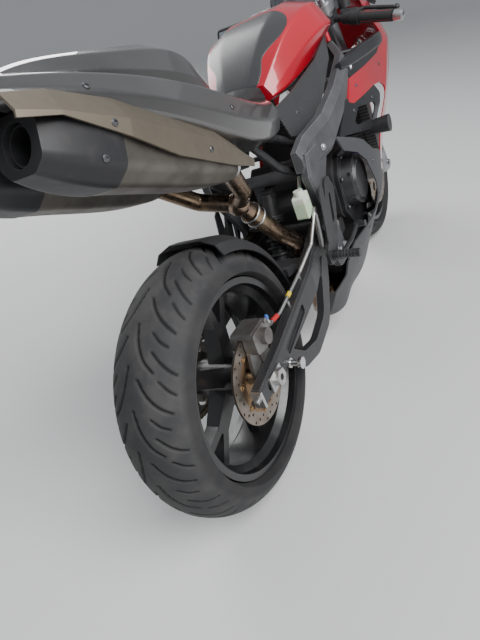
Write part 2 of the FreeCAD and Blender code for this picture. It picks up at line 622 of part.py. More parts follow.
def shock():
    """Rear damper with its coil spring, reservoir and linkage."""
    low, high = V(420, 0, 270), V(505, 0, 560)
    axis = (high - low).normalize()
    body = rod(low, low + axis * 120, 16)
    shaft = rod(low + axis * 110, high, 23)
    collar_low, collar_high = rod(low + axis * 70, low + axis * 80, 34), rod(high - axis * 70, high - axis * 60, 34)
    turns, pitch = 7, 23.0
    rings = []
    for k in range(turns):
        at = low + axis * (84 + pitch * k)
        rings.append(Part.makeTorus(27, 5.5, at, (axis + V(0, 0.12, 0)).normalize()))
    eye = rod(V(low.x, -18, low.z), V(low.x, 18, low.z), 17)
    top = rod(V(high.x, -20, high.z), V(high.x, 20, high.z), 17)
    linkage = side_plate([(400, 254), (404, 286), (470, 300), (540, 332), (540, 304), (470, 268)], -24, 24, 10)
    tank = rod(V(500, 52, 530), V(460, 52, 480), 19)
    tie = rod(V(high.x - 14, 52, 518), V(high.x, 10, 545), 7)
    mount = rod(V(high.x, 0, high.z), V(572, 0, 590), 14)
    return fuse([body, shaft, collar_low, collar_high, eye, top, linkage, tank, tie, mount] + rings)


def hugger():
    """Rear tyre hugger: a thin arched guard ahead of and over the tyre, with stays."""
    r0, t = REAR_R + 13, 3.0
    half = [(r0, 42), (r0 - 14, 76), (r0 - 38, 92)]
    outer = [(half[0][0] + t, half[0][1])] + [(r + 1, w + t) for r, w in half[1:]]
    profile = [(r, -w) for r, w in reversed(outer)] + outer
    profile += list(reversed(half)) + [(r, -w) for r, w in half]
    points = [V(0, y, REAR_R + r) for r, y in profile]
    face = Part.Face(Part.makePolygon(points + points[:1]))
    arch = face.revolve(V(0, 0, REAR_R), Y_AXIS, 67)
    arch.rotate(V(0, 0, REAR_R), Y_AXIS, 12)
    lug = side_plate([(292, 430), (292, 402), (346, 392), (356, 408)], -94, -84, 5)
    return fuse([arch, lug, mirrored(lug)])


def rear_caliper():
    """Single-piston rear caliper with its bracket, pins, piston boss and banjo."""
    y = REAR_DISC_Y
    gap = REAR_DISC_T / 2 + 2.0
    at = V(22, y, REAR_R + 94)
    inner = side_plate([(at.x - 42, at.z - 8), (at.x - 36, at.z + 26), (at.x + 36, at.z + 24), (at.x + 44, at.z - 8)],
                       y + gap, y + gap + 16, 8)
    outer = side_plate([(at.x - 34, at.z - 24), (at.x - 30, at.z + 26), (at.x + 40, at.z + 24), (at.x + 46, at.z - 14), (at.x + 10, at.z - 34)],
                       y - gap, y - gap - 30, 9)
    bridge = side_plate([(at.x - 34, at.z + 17), (at.x - 30, at.z + 30), (at.x + 34, at.z + 28), (at.x + 38, at.z + 17)],
                        y - gap - 26, y + gap + 16, 4)
    piston = rod(V(at.x + 12, y - gap - 28, at.z - 4), V(at.x + 12, y - gap - 42, at.z - 4), 19)
    pins = [rod(V(at.x + dx, y - gap - 34, at.z + dz), V(at.x + dx, y + gap + 10, at.z + dz), 6)
            for dx, dz in ((-30, 22), (34, 22))]
    bracket = side_plate([(-22, REAR_R - 20, 16), (22, REAR_R - 20, 16), (24, REAR_R + 30), (at.x + 30, at.z - 20),
                          (at.x - 34, at.z - 16), (-26, REAR_R + 30)], y - gap, y - gap - 9, 6)
    bore = rod(V(0, -60, REAR_R), V(0, -140, REAR_R), AXLE_R + 5 + SEAT_GAP)
    stay = side_plate([(16, REAR_R + 30), (16, REAR_R + 52), (58, REAR_R + 40), (58, REAR_R + 22)], y - gap, -ARM_INNER_RIGHT + SEAT_GAP, 5)
    banjo = rod(V(at.x + 34, y - gap - 12, at.z - 6), V(at.x + 84, y - gap - 12, at.z - 20), 6)
    return fuse([inner, outer, bridge, piston, bracket, stay, banjo] + pins).cut(bore)


MASTER_LOW, MASTER_HIGH = V(446, -144, 402), V(466, -142, 492)


def brake_hose():
    """Rear brake hose on its clips, and the master cylinder that it comes from."""
    start = V(104, -108.5, REAR_R + 74.5)
    hose = pipe([start, V(150, -114, 386), V(300, -122, 408), V(390, -136, 440), V(438, -150, 506), V(464, -146, 518),
                 MASTER_HIGH], 4.5, 10)
    clips = [rod(V(x, -118, z - 26), V(x, -118, z), 5) for x, z in ((196, 388), (296, 404))]
    body = rod(MASTER_LOW, MASTER_HIGH, 10)
    foot = rod(V(470, -144, 448), V(470, -HANGER_Y, 448), 7)
    arm = rod(V(454, -143, 446), V(472, -144, 448), 7)
    return Part.makeCompound([fuse([hose, body, foot, arm])] + clips)


# Exhaust


def headers():
    """Four header pipes swept under the engine into a collector."""
    pipes = []
    for k in range(4):
        y = -120 + 80.0 * k
        low_y = -48 + 32.0 * k
        pipes.append(pipe([V(962, y, 492), V(1012, y, 450), V(985, y * 0.9, 330), V(900, low_y, 136), V(760, low_y, 130)],
                          19, 46))

    def oblong(x, half_y, z0, z1):
        pts = [V(x, -half_y, z0), V(x, half_y, z0), V(x, half_y, z1), V(x, -half_y, z1)]
        return Part.makePolygon(pts + pts[:1])

    collector = loft([oblong(765, 70, 108, 152), oblong(640, 46, 104, 158)], True)
    tail = pipe([V(650, -6, 131), V(560, -20, 131), V(486, -60, 190), V(476, -60, 300)], 24, 50)
    return fuse(pipes + [collector, tail])


SILENCER_Y = 92.0
SILENCER_REAR = V(-262, -SILENCER_Y, 943)
SILENCER_FRONT = V(178, -SILENCER_Y - 12, 748)
PIPE_ELBOW = V(402, -44, 488)
Y_JOINT = V(300, -25, 622)


def link_pipes():
    """Rising pipe behind the engine, its fork, and the clamped pipes to both silencers."""
    rise = pipe([V(476, -60, 300), V(470, -60, 420), PIPE_ELBOW, Y_JOINT], 24, 50)
    ball = Part.makeSphere(31, Y_JOINT)
    pipes = []
    for s in (-1, 1):
        turn = V(Y_JOINT.x - 30, s * 66, Y_JOINT.z + 36)
        end = V(SILENCER_FRONT.x, s * -SILENCER_FRONT.y, SILENCER_FRONT.z)
        bend_in = end + (SILENCER_FRONT - SILENCER_REAR).normalize() * 40
        bend_in.y = end.y
        pipes.append(pipe([Y_JOINT, turn, end], 22, 30))
    run = (Y_JOINT - PIPE_ELBOW).normalize()
    clamp = rod(PIPE_ELBOW + run * 96, PIPE_ELBOW + run * 118, 28)
    return fuse([rise, ball, clamp] + pipes)


def silencers():
    """Two flattened oval silencers with cast end caps and recessed round outlets."""
    axis = (SILENCER_REAR - SILENCER_FRONT)
    length = axis.Length
    unit = axis.normalize()
    side = Y_AXIS
    up = side.cross(unit).normalize()
    if up.z < 0:
        up = up * -1

    def oval(share, half_w, half_h, drop=0.0):
        at = SILENCER_FRONT + unit * (length * share) + up * drop
        pts = [at - side * half_w + up * (half_h * 0.55), at - side * (half_w * 0.62) + up * half_h,
               at + side * (half_w * 0.62) + up * half_h, at + side * half_w + up * (half_h * 0.55),
               at + side * half_w - up * (half_h * 0.55), at + side * (half_w * 0.55) - up * half_h,
               at - side * (half_w * 0.55) - up * half_h, at - side * half_w - up * (half_h * 0.55)]
        return rounded_wire(pts, [half_h * 0.4] * len(pts))

    can = loft([oval(0.0, 30, 30), oval(0.14, 52, 44), oval(0.45, 62, 54), oval(0.74, 66, 58)])
    cap = loft([oval(0.7405, 66.6, 58.6), oval(0.86, 64, 55), oval(1.0, 46, 40)])
    outlet_at = SILENCER_FRONT + unit * (length * 0.9)
    outlet = rod(outlet_at, outlet_at + unit * (length * 0.2), 29)
    tip = rod(outlet_at, SILENCER_FRONT + unit * (length * 0.985), 27).cut(
        rod(outlet_at + unit * 12, outlet_at + unit * (length * 0.2), 24.5))
    end_cap = fuse([cap.cut(outlet), tip])
    SHAPES["silencer_caps"] = Part.makeCompound([end_cap, mirrored(end_cap)])
    SHAPES["silencers"] = Part.makeCompound([can, mirrored(can)])


def heat_shields():
    """Satin shields over the outer upper side of each silencer."""
    axis = (SILENCER_REAR - SILENCER_FRONT)
    length = axis.Length
    unit = axis.normalize()
    side = Y_AXIS
    up = side.cross(unit).normalize()
    if up.z < 0:
        up = up * -1

    def strip(share, half_w, half_h, t, low, reach=0.25):
        """Thin bent strip outside the can: top, shoulder and flank, as a closed outline."""
        at = SILENCER_FRONT + unit * (length * share)
        outer = [(-reach * half_w, half_h + t), (-0.66 * half_w, half_h + t), (-half_w - t, half_h * 0.5),
                 (-half_w - t, low * half_h)]
        inner = [(-half_w - 0.6, low * half_h), (-half_w - 0.6, half_h * 0.46), (-0.64 * half_w, half_h + 0.6),
                 (-reach * half_w, half_h + 0.6)]
        pts = [at + side * a + up * b for a, b in outer + inner]
        return Part.makePolygon(pts + pts[:1])

    one = loft([strip(-0.09, 42, 14, 4, -0.6, 0.5), strip(0.04, 44, 38, 5, -0.3), strip(0.2, 60, 52, 5, -0.3),
                strip(0.5, 67, 58, 5, -0.2), strip(0.72, 71, 62, 5, 0.1), strip(0.95, 66, 58, 4, 0.4),
                strip(1.08, 60, 44, 4, 0.3, 0.5)], True)
    return Part.makeCompound([one, mirrored(one)])


# Bodywork: each shell is a lofted envelope, hollowed by its wall and cut by side-view outlines


def shell(table, radius, wall):
    """Hollow loft from a table of stations: (x, [(y, z), ...]) half sections, top to bottom."""
    outer = loft([section_wire(x, half, radius) for x, half in table])

    def shrink(half):
        mid = sum(z for _, z in half) / len(half)
        return [(max(y - wall, 2.0), z - wall if z > mid else z + wall) for y, z in half]

    inner_table = [(x, shrink(half)) for x, half in table]
    first, last = inner_table[0], inner_table[-1]
    inner_table[0] = (first[0] - 1, first[1])
    inner_table[-1] = (last[0] + 1, last[1])
    inner = loft([section_wire(x, half, max(radius - wall, 1.0)) for x, half in inner_table])
    return outer, outer.cut(inner)


def fuel_tank():
    """Fuel tank: broad shoulders over knee hollows, waist at the seat, closed below."""
    table = [
        (538, [(30, 842), (78, 836), (92, 812), (96, 800), (60, 790)]),
        (590, [(52, 900), (104, 880), (118, 838), (122, 806), (70, 792)]),
        (680, [(70, 960), (132, 936), (150, 872), (140, 822), (80, 800)]),
        (790, [(84, 992), (158, 966), (186, 900), (152, 842), (90, 812)]),
        (890, [(80, 990), (150, 962), (184, 900), (140, 858), (90, 838)]),
        (985, [(56, 962), (98, 944), (120, 912), (110, 880), (60, 866)]),
        (1024, [(34, 934), (62, 926), (74, 908), (70, 892), (36, 884)]),
    ]
    body = loft([section_wire(x, half, 12) for x, half in table])
    spar_clear = side_plate([(500, 560), (640, 700), (820, 812), (960, 882), (1080, 915), (1080, 500), (500, 400)],
                            -400, 400, 4)
    core = side_plate([(560, 805, 3), (700, 806, 3), (1000, 878, 3), (1010, 760, 3), (560, 700, 3)], -86, 86, 3)
    lid = Part.makeCylinder(33, 8, V(850, 0, 986), Z_AXIS)
    feet = [rod(V(955, s * 135, 890), V(955, s * 141, 850), 9) for s in (-1, 1)]
    return fuse([fuse([body.cut(spar_clear), body.common(core)]), lid] + feet)


def side_covers():
    """Dark covers between the tank, the seat and the frame spar."""
    plate = side_plate([(505, 700, 6), (470, 782, 6), (560, 796, 6), (700, 838, 6), (860, 896, 4), (900, 886, 4), (780, 806, 8),
                        (660, 724, 10), (600, 672, 10)], -60, -230, 6)
    hull = loft([section_wire(x, [(y, 960), (y, 600)], 4) for x, y in ((450, 112), (560, 136), (700, 172), (800, 178), (920, 150))], True)
    hull_in = loft([section_wire(x, [(y - SKIN, 970), (y - SKIN, 590)], 4) for x, y in ((449, 112), (560, 136), (700, 172), (800, 178), (921, 150))], True)
    one = plate.common(hull).cut(hull_in)
    return one, mirrored(one)


def rider_seat():
    """Rider's saddle: dished pad narrowing to the tank."""
    table = [
        (186, [(60, 888), (104, 880), (126, 858), (120, 842), (60, 838)]),
        (250, [(70, 864), (116, 854), (138, 828), (132, 808), (70, 804)]),
        (340, [(70, 844), (112, 834), (128, 812), (122, 793), (64, 789)]),
        (450, [(54, 838), (86, 828), (98, 806), (94, 790), (50, 784)]),
        (531, [(40, 846), (70, 838), (80, 812), (78, 796), (40, 788)]),
    ]
    return loft([section_wire(x, half, 12) for x, half in table])


def tail_cowl():
    """Tail cowl: a long wedge, open below and in front, that rises to the rear."""
    table = [
        (-345, [(20, 1046), (52, 1040), (62, 1029), (60, 1018), (20, 1013)]),
        (-250, [(50, 1037), (92, 1026), (112, 1004), (108, 985), (50, 978)]),
        (-80, [(70, 1004), (124, 984), (148, 948), (142, 920), (70, 910)]),
        (120, [(76, 942), (140, 916), (164, 864), (156, 826), (76, 816)]),
        (300, [(84, 868), (146, 838), (166, 792), (150, 750), (84, 736)]),
        (420, [(90, 826), (138, 808), (150, 776), (136, 738), (90, 726)]),
    ]
    outer, hollow = shell(table, 14, SKIN)
    under = side_plate([(-360, 990), (-250, 990), (-80, 926), (120, 836), (300, 760), (430, 740), (430, 600), (-360, 600)],
                       -90, 90, 4)
    seat_hole = side_plate([(178, 1100), (182, 835), (340, 783), (440, 772), (440, 1100)], -200, 200, 10)
    seat_room = seat_hole.common(loft([section_wire(x, [(y, 1100), (y, 700)], 4)
                                       for x, y in ((168, 130), (250, 143), (340, 133), (440, 120))], True))
    return outer, hollow.cut(under).cut(seat_room)


def seat_cowl(tail):
    """Cowl over the pillion place, a hump with a steep front behind the rider."""
    table = [
        (-190, [(16, 1036), (44, 1032), (52, 1024), (50, 1014), (20, 1010)]),
        (-60, [(40, 1034), (76, 1022), (90, 996), (88, 980), (40, 976)]),
        (80, [(52, 1018), (90, 1000), (106, 960), (104, 936), (50, 930)]),
        (190, [(50, 994), (90, 972), (106, 924), (104, 890), (50, 884)]),
        (252, [(44, 950), (76, 932), (92, 894), (90, 866), (44, 862)]),
    ]
    return loft([section_wire(x, half, 8) for x, half in table]).cut(tail)


def subframe():
    """Rear subframe: two rails from the frame to the tail with a cross tie and stays."""
    rail = pipe([V(610, -124, 636), V(470, -96, 712), V(330, -84, 768), V(150, -70, 842), V(-60, -60, 932), V(-170, -50, 972)], 11, 60)
    lower = pipe([V(575, -126, 560), V(420, -104, 650), V(300, -86, 778)], 10, 60)
    ties = [rod(V(x, -y, z), V(x, y, z), 8) for x, y, z in ((-160, 52, 968), (40, 66, 889), (400, 90, 738))]
    tray = side_plate([(-60, 928), (-60, 934), (330, 764), (330, 756)], -28, 28, 1)
    return fuse([rail, lower, mirrored(rail), mirrored(lower), tray] + ties)


def undertray():
    """Black panel between the silencers under the tail, with the lamp housing behind."""
    plate = side_plate([(-335, 1010, 3), (-300, 998, 6), (-100, 908, 6), (60, 832, 6), (60, 812, 3), (-110, 880, 6),
                        (-290, 978, 6), (-342, 998, 3)], -24, 24, 4)
    post = rod(V(-160, 0, 920), V(-160, 0, 966), 8)
    return fuse([plate, post])


def tail_light():
    """Lamp in the rear end of the tail cowl."""
    return loft([section_wire(-352, [(30, 1039), (46, 1034), (44, 1023), (28, 1019)], 4),
                 section_wire(-345.3, [(40, 1043), (54, 1037), (52, 1021), (36, 1016)], 4)])


def plate_bracket():
    """Short hanger for a number plate, with two bolt holes."""
    arm = side_plate([(-296, 990), (-320, 1000), (-380, 908), (-372, 902)], -18, 18, 3)
    plate = box((-382, -378), (-75, 75), (850, 925))
    holes = [rod(V(-390, y, 905), V(-370, y, 905), 3.5) for y in (-PLATE_HOLES / 2, PLATE_HOLES / 2)]
    return fuse([arm, plate]).cut(Part.makeCompound(holes))


FAIRING = [
    # station x, then half width and height at the crown, shoulder, waist, hip and keel
    (1660, [(14, 742), (30, 734), (38, 716), (30, 696), (14, 688)]),
    (1600, [(50, 820), (112, 796), (138, 742), (112, 676), (50, 656)]),
    (1500, [(84, 898), (160, 862), (196, 764), (166, 640), (80, 600)]),
    (1380, [(104, 960), (186, 902), (230, 770), (206, 560), (96, 470)]),
    (1240, [(110, 990), (198, 880), (244, 730), (196, 440), (100, 280)]),
    (1080, [(120, 960), (206, 850), (250, 640), (190, 410), (100, 190)]),
    (900, [(120, 940), (200, 800), (243, 630), (228, 420), (100, 120)]),
    (800, [(118, 930), (194, 780), (232, 620), (234, 390), (96, 104)]),
    (680, [(110, 890), (178, 730), (210, 590), (206, 350), (88, 104)]),
    (520, [(90, 840), (150, 680), (180, 540), (164, 310), (64, 120)]),
]


def fairing_shell():
    return shell(FAIRING, 30, SKIN)[1]


def nose_fairing(hollow):
    """Nose cowl with twin headlight openings, up to the screen and down to the side panels."""
    region = side_plate([(1700, 660), (1700, 900), (1500, 905), (1395, 935), (1300, 900), (1262, 862),
                         (1290, 800), (1420, 726), (1530, 640)], -300, 300, 6)
    lamps = lamp_prisms(0)
    return hollow.common(region).cut(lamps)


def lamp_prisms(shrink):
    """Slanted lens outlines either side of the nose, as prisms along the bike."""
    out = []
    for s in (-1, 1):
        pts = [(30, 716), (122, 742), (150, 792), (120, 806), (44, 756)]
        mid_y, mid_z = sum(p[0] for p in pts) / 5, sum(p[1] for p in pts) / 5
        pts = [(mid_y + (y - mid_y) * (1 - shrink / 50.0), mid_z + (z - mid_z) * (1 - shrink / 25.0)) for y, z in pts]
        wire = rounded_wire([V(1440, s * y, z) for y, z in pts], [8] * 5)
        out.append(Part.Face(wire).extrude(V(300, 0, 0)))
    return Part.makeCompound(out)


def headlights():
    """Lens blocks behind the nose openings."""
    inner = [(x, [(max(y - SKIN - 1, 4), z - SKIN - 1 if k < 3 else z + SKIN + 1) for k, (y, z) in enumerate(half)]) for x, half in FAIRING[:4]]
    solid = loft([section_wire(x, half, 24) for x, half in inner])
    front_lens = solid.common(lamp_prisms(1.0))
    back = box((1400, 1520), (-300, 300), (600, 1000))
    return front_lens.cut(back)


def side_fairings(hollow):
    """Red side panels: a lobe back to the frame, and a strip down to the belly panels."""
    region = side_plate([(1392, 745, 8), (1290, 806, 6), (1240, 775, 14), (1150, 752, 20), (1000, 746, 20),
                         (842, 744, 6), (770, 692, 6), (800, 680, 6), (990, 682, 20), (1062, 674, 16),
                         (1090, 652, 14), (1073, 634, 14), (992, 568, 20), (903, 473, 12), (872, 442, 8),
                         (931, 428, 10)], -300, -60, 8)
    one = hollow.common(region)
    return Part.makeCompound([one, mirrored(one)])


def belly_fairings(hollow):
    """Dark lower panels round the engine covers, the right one with a longer tail."""
    out = []
    for s, rear in ((-1, 500), (1, 650)):
        region = side_plate([(650, 636, 4), (766, 580, 12), (820, 532, 16), (900, 500, 20), (960, 450, 16), (1008, 400, 14),
                             (1008, 300, 20), (1000, 180, 40), (900, 60, 40), (rear + 20, 110, 20), (rear - 40, 190, 10),
                             (max(rear, 590), 222, 10), (max(rear, 591), 266, 10), (max(rear, 627), 317, 10),
                             (690, 338, 10), (745, 362, 14), (784, 400, 14), (788, 440, 14), (758, 520, 20),
                             (716, 560, 12), (650, 592, 4)],
                            s * 30, s * 300, 8)
        out.append(hollow.common(region))
    return fuse(out)


def inner_panels(hollow):
    """Black panels: the pads over the side panels, the strip below them and the framed vent."""
    def pad_wire(x, y, z, half_y, half_z):
        pts = [V(x, y - half_y, z - half_z), V(x, y + half_y, z - half_z * 0.4), V(x, y + half_y, z + half_z * 0.6),
               V(x, y - half_y, z + half_z)]
        return rounded_wire(pts, [min(half_y, half_z) * 0.45] * 4)

    pad = loft([pad_wire(812, -194, 788, 8, 10), pad_wire(900, -198, 785, 18, 20), pad_wire(1080, -208, 785, 26, 23),
                pad_wire(1240, -212, 784, 24, 22), pad_wire(1330, -196, 782, 20, 20), pad_wire(1420, -178, 776, 10, 12)])
    strip = hollow.common(side_plate([(850, 736), (850, 775), (1262, 782), (1262, 740)], -300, -100, 4))
    vent = side_plate([(756, 702, 4), (990, 690, 4), (1019, 650, 8), (889, 573, 6), (662, 628, 4)], -300, -100, 6)
    opening = side_plate([(810, 664, 8), (946, 642, 8), (880, 606, 8), (744, 629, 8)], -300, -100, 6)
    one = [fuse([pad, strip]), hollow.common(vent).cut(opening)]
    return Part.makeCompound(one + [mirrored(piece) for piece in one])


def fairing_stays():
    """Rods that carry the side and belly panels from the frame and the engine."""
    parts = []
    for s in (-1, 1):
        parts.append(rod(V(1020, s * 110, 806), V(1060, s * 200, 790), 7))
        parts.append(rod(V(1012, s * 122, 716), V(1036, s * 242, 712), 7))
        parts.append(rod(V(876, s * 140, 300), V(893, s * 187, 321), 7))
    return Part.makeCompound(parts)


def windscreen():
    """Double-bubble screen, a thin lofted skin."""
    def arc_band(x, half, z_edge, z_top, t):
        a, m, b = V(x, -half, z_edge), V(x, 0, z_top), V(x, half, z_edge)
        a2, m2, b2 = V(x, -half + t, z_edge), V(x, 0, z_top - t), V(x, half - t, z_edge)
        return Part.Wire([Part.Arc(a, m, b).toShape(), Part.LineSegment(b, b2).toShape(),
                          Part.Arc(b2, m2, a2).toShape(), Part.LineSegment(a2, a).toShape()])
    return loft([arc_band(1500, 120, 886, 906, 3), arc_band(1410, 158, 930, 982, 3), arc_band(1310, 150, 945, 1048, 3), arc_band(1220, 112, 1010, 1100, 3)])


def dash():
    """Instrument panel with a round counter and a display, on its bracket."""
    body = side_plate([(1236, 890, 6), (1262, 960, 8), (1282, 960, 8), (1272, 884, 6)], -92, 92, 6)
    dial = rod(V(1250, -36, 928), V(1236, -36, 933), 36)
    bracket = side_plate([(1164, 816, 4), (1265, 890, 4), (1275, 892, 4), (1530, 880, 4), (1530, 868, 4), (1285, 876, 4),
                          (1170, 804, 4)],
                         -22, 22, 4)
    return fuse([body, dial, bracket])


def mirrors():
    """Mirrors on stalks from the nose cowl."""
    stalk = pipe([V(1390, -196, 898), V(1370, -246, 948), V(1330, -302, 972)], 8, 30)
    foot = Part.makeCylinder(17, 12, V(1394, -190, 892), V(0.1, -0.6, 0.75))
    wires = []
    for x, sy, sz in ((1300, 74, 38), (1318, 80, 42), (1348, 50, 24)):
        pts = [V(x, -330 + sy, 975 - sz * 0.5), V(x, -330 + sy * 0.7, 975 + sz * 0.8), V(x, -330 - sy * 0.8, 975 + sz), V(x, -330 - sy, 975 - sz * 0.1),
               V(x, -330 - sy * 0.6, 975 - sz)]
        wires.append(rounded_wire(pts, [12] * 5))
    head = loft(wires)
    one = fuse([stalk, foot, head])
    return Part.makeCompound([one, mirrored(one)])


def radiator():
    """Curved-front radiator with tanks and a fan ring."""
    core = box((-16, 16), (-165, 165), (-120, 120))
    ends = [box((-22, 22), (s * 178 - 16, s * 178 + 16), (-126, 126)) for s in (-1, 1)]
    neck = rod(V(0, -150, 110), V(0, -150, 146), 17)
    fan = Part.makeCylinder(84, 18, V(-34, 60, 0), X_AXIS)
    unit = fuse([core, neck, fan] + ends)
    unit.rotate(V(0, 0, 0), Y_AXIS, -14)
    unit = unit.translated(V(1052, 0, 560))
    lugs = [rod(V(1022, s * 125, 650), V(1008, s * 125, 740), 8) for s in (-1, 1)]
    return fuse([unit] + lugs)


def frame_sliders():
    """Crash bobbins on stays, one each side ahead of the engine cover."""
    x, z = 872.0, 582.0
    post = rod(V(x, -ENGINE_HALF + 12, z), V(x, -236, z), 9)
    bung = Part.makeCone(21, 26, 60, V(x, -229, z), V(0, -1, 0))
    groove = turned_ring(x, z, -258, 23.5, 30, 4)
    one = fuse([post, bung.cut(groove)])
    return Part.makeCompound([one, mirrored(one)])


def turned_ring(x, z, y, r0, r1, w):
    """Square-section ring about a line across the bike."""
    points = [V(x, y, z + r0), V(x, y - w, z + r0), V(x, y - w, z + r1), V(x, y, z + r1)]
    return Part.Face(Part.makePolygon(points + points[:1])).revolve(V(x, 0, z), Y_AXIS, 360)


def footrests():
    """Heel plates with pegs, the brake pedal on the right and the gear lever on the left."""
    y0 = -HANGER_Y
    plate = side_plate([(560, 560, 8), (585, 520, 10), (560, 470, 12), (506, 392, 12), (456, 350, 12), (412, 356, 12),
                        (408, 396, 12), (440, 424, 14), (474, 476, 14), (504, 524, 14), (530, 560, 8)], y0, y0 - 10, 8)
    bosses = [rod(V(x, y0 - 4, z), V(x, -FRAME_OUT_REAR + 6, z), 11) for x, z in ((548, 540), (556, 484))]
    window = side_plate([(545, 520, 5), (524, 444, 8), (500, 440, 8), (528, 520, 5)], y0 + 2, y0 - 14, 5)
    peg_at = V(434, y0 - 8, 378)
    hub = rod(peg_at, peg_at - V(0, 22, 0), 13)
    peg = rod(peg_at - V(0, 20, 0), peg_at - V(0, 80, 4), 12)
    rings = [turned_ring(peg_at.x, peg_at.z - 1.5, peg_at.y - 30 - 9 * k, 10.4, 16, 3) for k in range(5)]
    guard = side_plate([(424, 416, 6), (462, 548, 10), (492, 568, 6), (486, 490, 10), (462, 424, 6)], y0 - 10, y0 - 13, 6)
    one = fuse([plate.cut(window), hub, fuse(bosses), peg.cut(Part.makeCompound(rings)), guard])
    pedal = pipe([V(458, y0 - 24, 362), V(560, y0 - 26, 356), V(628, y0 - 30, 372)], 7, 30)
    pad = rod(V(630, y0 - 24, 372), V(630, y0 - 58, 372), 9)
    boss = rod(V(458, y0 - 5, 362), V(458, y0 - 32, 362), 12)
    right = fuse([one, pedal, pad, boss])
    left = mirrored(fuse([one, pipe([V(458, y0 - 24, 362), V(560, y0 - 26, 378), V(620, y0 - 30, 388)], 6, 30), pad.translated(V(-8, 0, 16)), boss]))
    return Part.makeCompound([right, left])


def reservoir():
    """Clear bottle behind the frame on the right, with its cap and hose stub."""
    body = side_plate([(414, 500, 8), (414, 562, 8), (456, 572, 8), (460, 508, 8)], -110, -142, 8)
    cap = Part.makeCylinder(13, 14, V(434, -126, 564), Z_AXIS)
    stay = rod(V(450, -118, 550), V(500, -116, 604), 5)
    return fuse([body, cap, stay])


# Front end, turned to the steering angle at rest


def fork():
    """Upside-down fork: thick upper tubes, slim lower legs, axle feet and caliper lugs."""
    legs = []
    for s in (-1, 1):
        y = s * FORK_Y
        upper = rod(fork_point(300, y), fork_point(FORK_TOP_L, y), FORK_UP_R)
        lower = rod(fork_point(20, y), fork_point(310, y), FORK_LOW_R)
        foot = rod(fork_point(-26, y), fork_point(120, y), FORK_LOW_R + 7)
        cap = rod(fork_point(FORK_TOP_L - 2, y), fork_point(FORK_TOP_L + 10, y), 15)
        lug_low = rod(fork_point(60, y, -4), fork_point(60, y, -66), 13)
        lug_high = rod(fork_point(150, y, -4), fork_point(150, y, -66), 13)
        web = rod(fork_point(118, y, 0), fork_point(150, y, 0), FORK_LOW_R + 5)
        legs.append(fuse([upper, lower, foot, cap, lug_low, lug_high, web]))
    axle = rod(V(WHEELBASE, -FORK_Y - 34, FRONT_R), V(WHEELBASE, FORK_Y + 34, FRONT_R), AXLE_R)
    spacers = [turned([(AXLE_R - 1, s * (FORK_Y - 20)), (AXLE_R + 5, s * (FORK_Y - 20)), (AXLE_R + 5, s * (FRONT_DISC_Y + 4)), (AXLE_R - 1, s * (FRONT_DISC_Y + 4))],
                      WHEELBASE, FRONT_R) for s in (-1, 1)]
    return fuse(legs + [axle] + spacers)


def triple_clamps():
    """Upper and lower yokes with the stem, ignition lock and stem nut."""
    out = []
    for along, t in ((TOP_CLAMP_L, CLAMP_T), (LOW_CLAMP_L, CLAMP_T)):
        base = along - (t if along == LOW_CLAMP_L else 0)
        parts = []
        for s in (-1, 1):
            y = s * FORK_Y
            parts.append(rod(fork_point(base, y), fork_point(base + t, y), FORK_UP_R + 9))
        rim_pts = [(-FORK_Y - 16, -26), (-FORK_Y, 26), (0, 34 - 20), (FORK_Y, 26), (FORK_Y + 16, -26), (34, -FORK_OFFSET - 34), (-34, -FORK_OFFSET - 34)]
        pts = [fork_point(base + 3, y, a) for y, a in rim_pts]
        bridge = Part.Face(rounded_wire(pts, [10] * len(pts))).extrude(STEER_UP * (t - 6))
        holes = [rod(fork_point(base - 5, s * FORK_Y), fork_point(base + t + 5, s * FORK_Y), FORK_UP_R + SEAT_GAP * 0.1) for s in (-1, 1)]
        out.append(fuse(parts + [bridge]).cut(Part.makeCompound(holes)))
    stem = rod(axis_point(LOW_CLAMP_L - CLAMP_T - 4), axis_point(TOP_CLAMP_L + CLAMP_T + 4), STEM_R)
    bearing_r = STEM_R + 3 - SEAT_GAP
    bearings = [rod(axis_point(LOW_CLAMP_L - 4), axis_point(LOW_CLAMP_L + RUN_GAP + 16), bearing_r),
                rod(axis_point(TOP_CLAMP_L - RUN_GAP - 16), axis_point(TOP_CLAMP_L + 4), bearing_r)]
    nut = prism_nut(axis_point(TOP_CLAMP_L + CLAMP_T - 4), STEER_UP, 20, 16)
    lock = rod(fork_point(TOP_CLAMP_L + 2, 0, 18), fork_point(TOP_CLAMP_L + 44, 0, 18), 19)
    stem_bore = rod(axis_point(LOW_CLAMP_L - CLAMP_T - 6), axis_point(LOW_CLAMP_L + 20), 9)
    return fuse(out + bearings + [stem, nut, lock]).cut(stem_bore)


BAR_L = TOP_CLAMP_L - 26
BAR_DIR = V(-0.24, -0.925, -0.25).normalize()


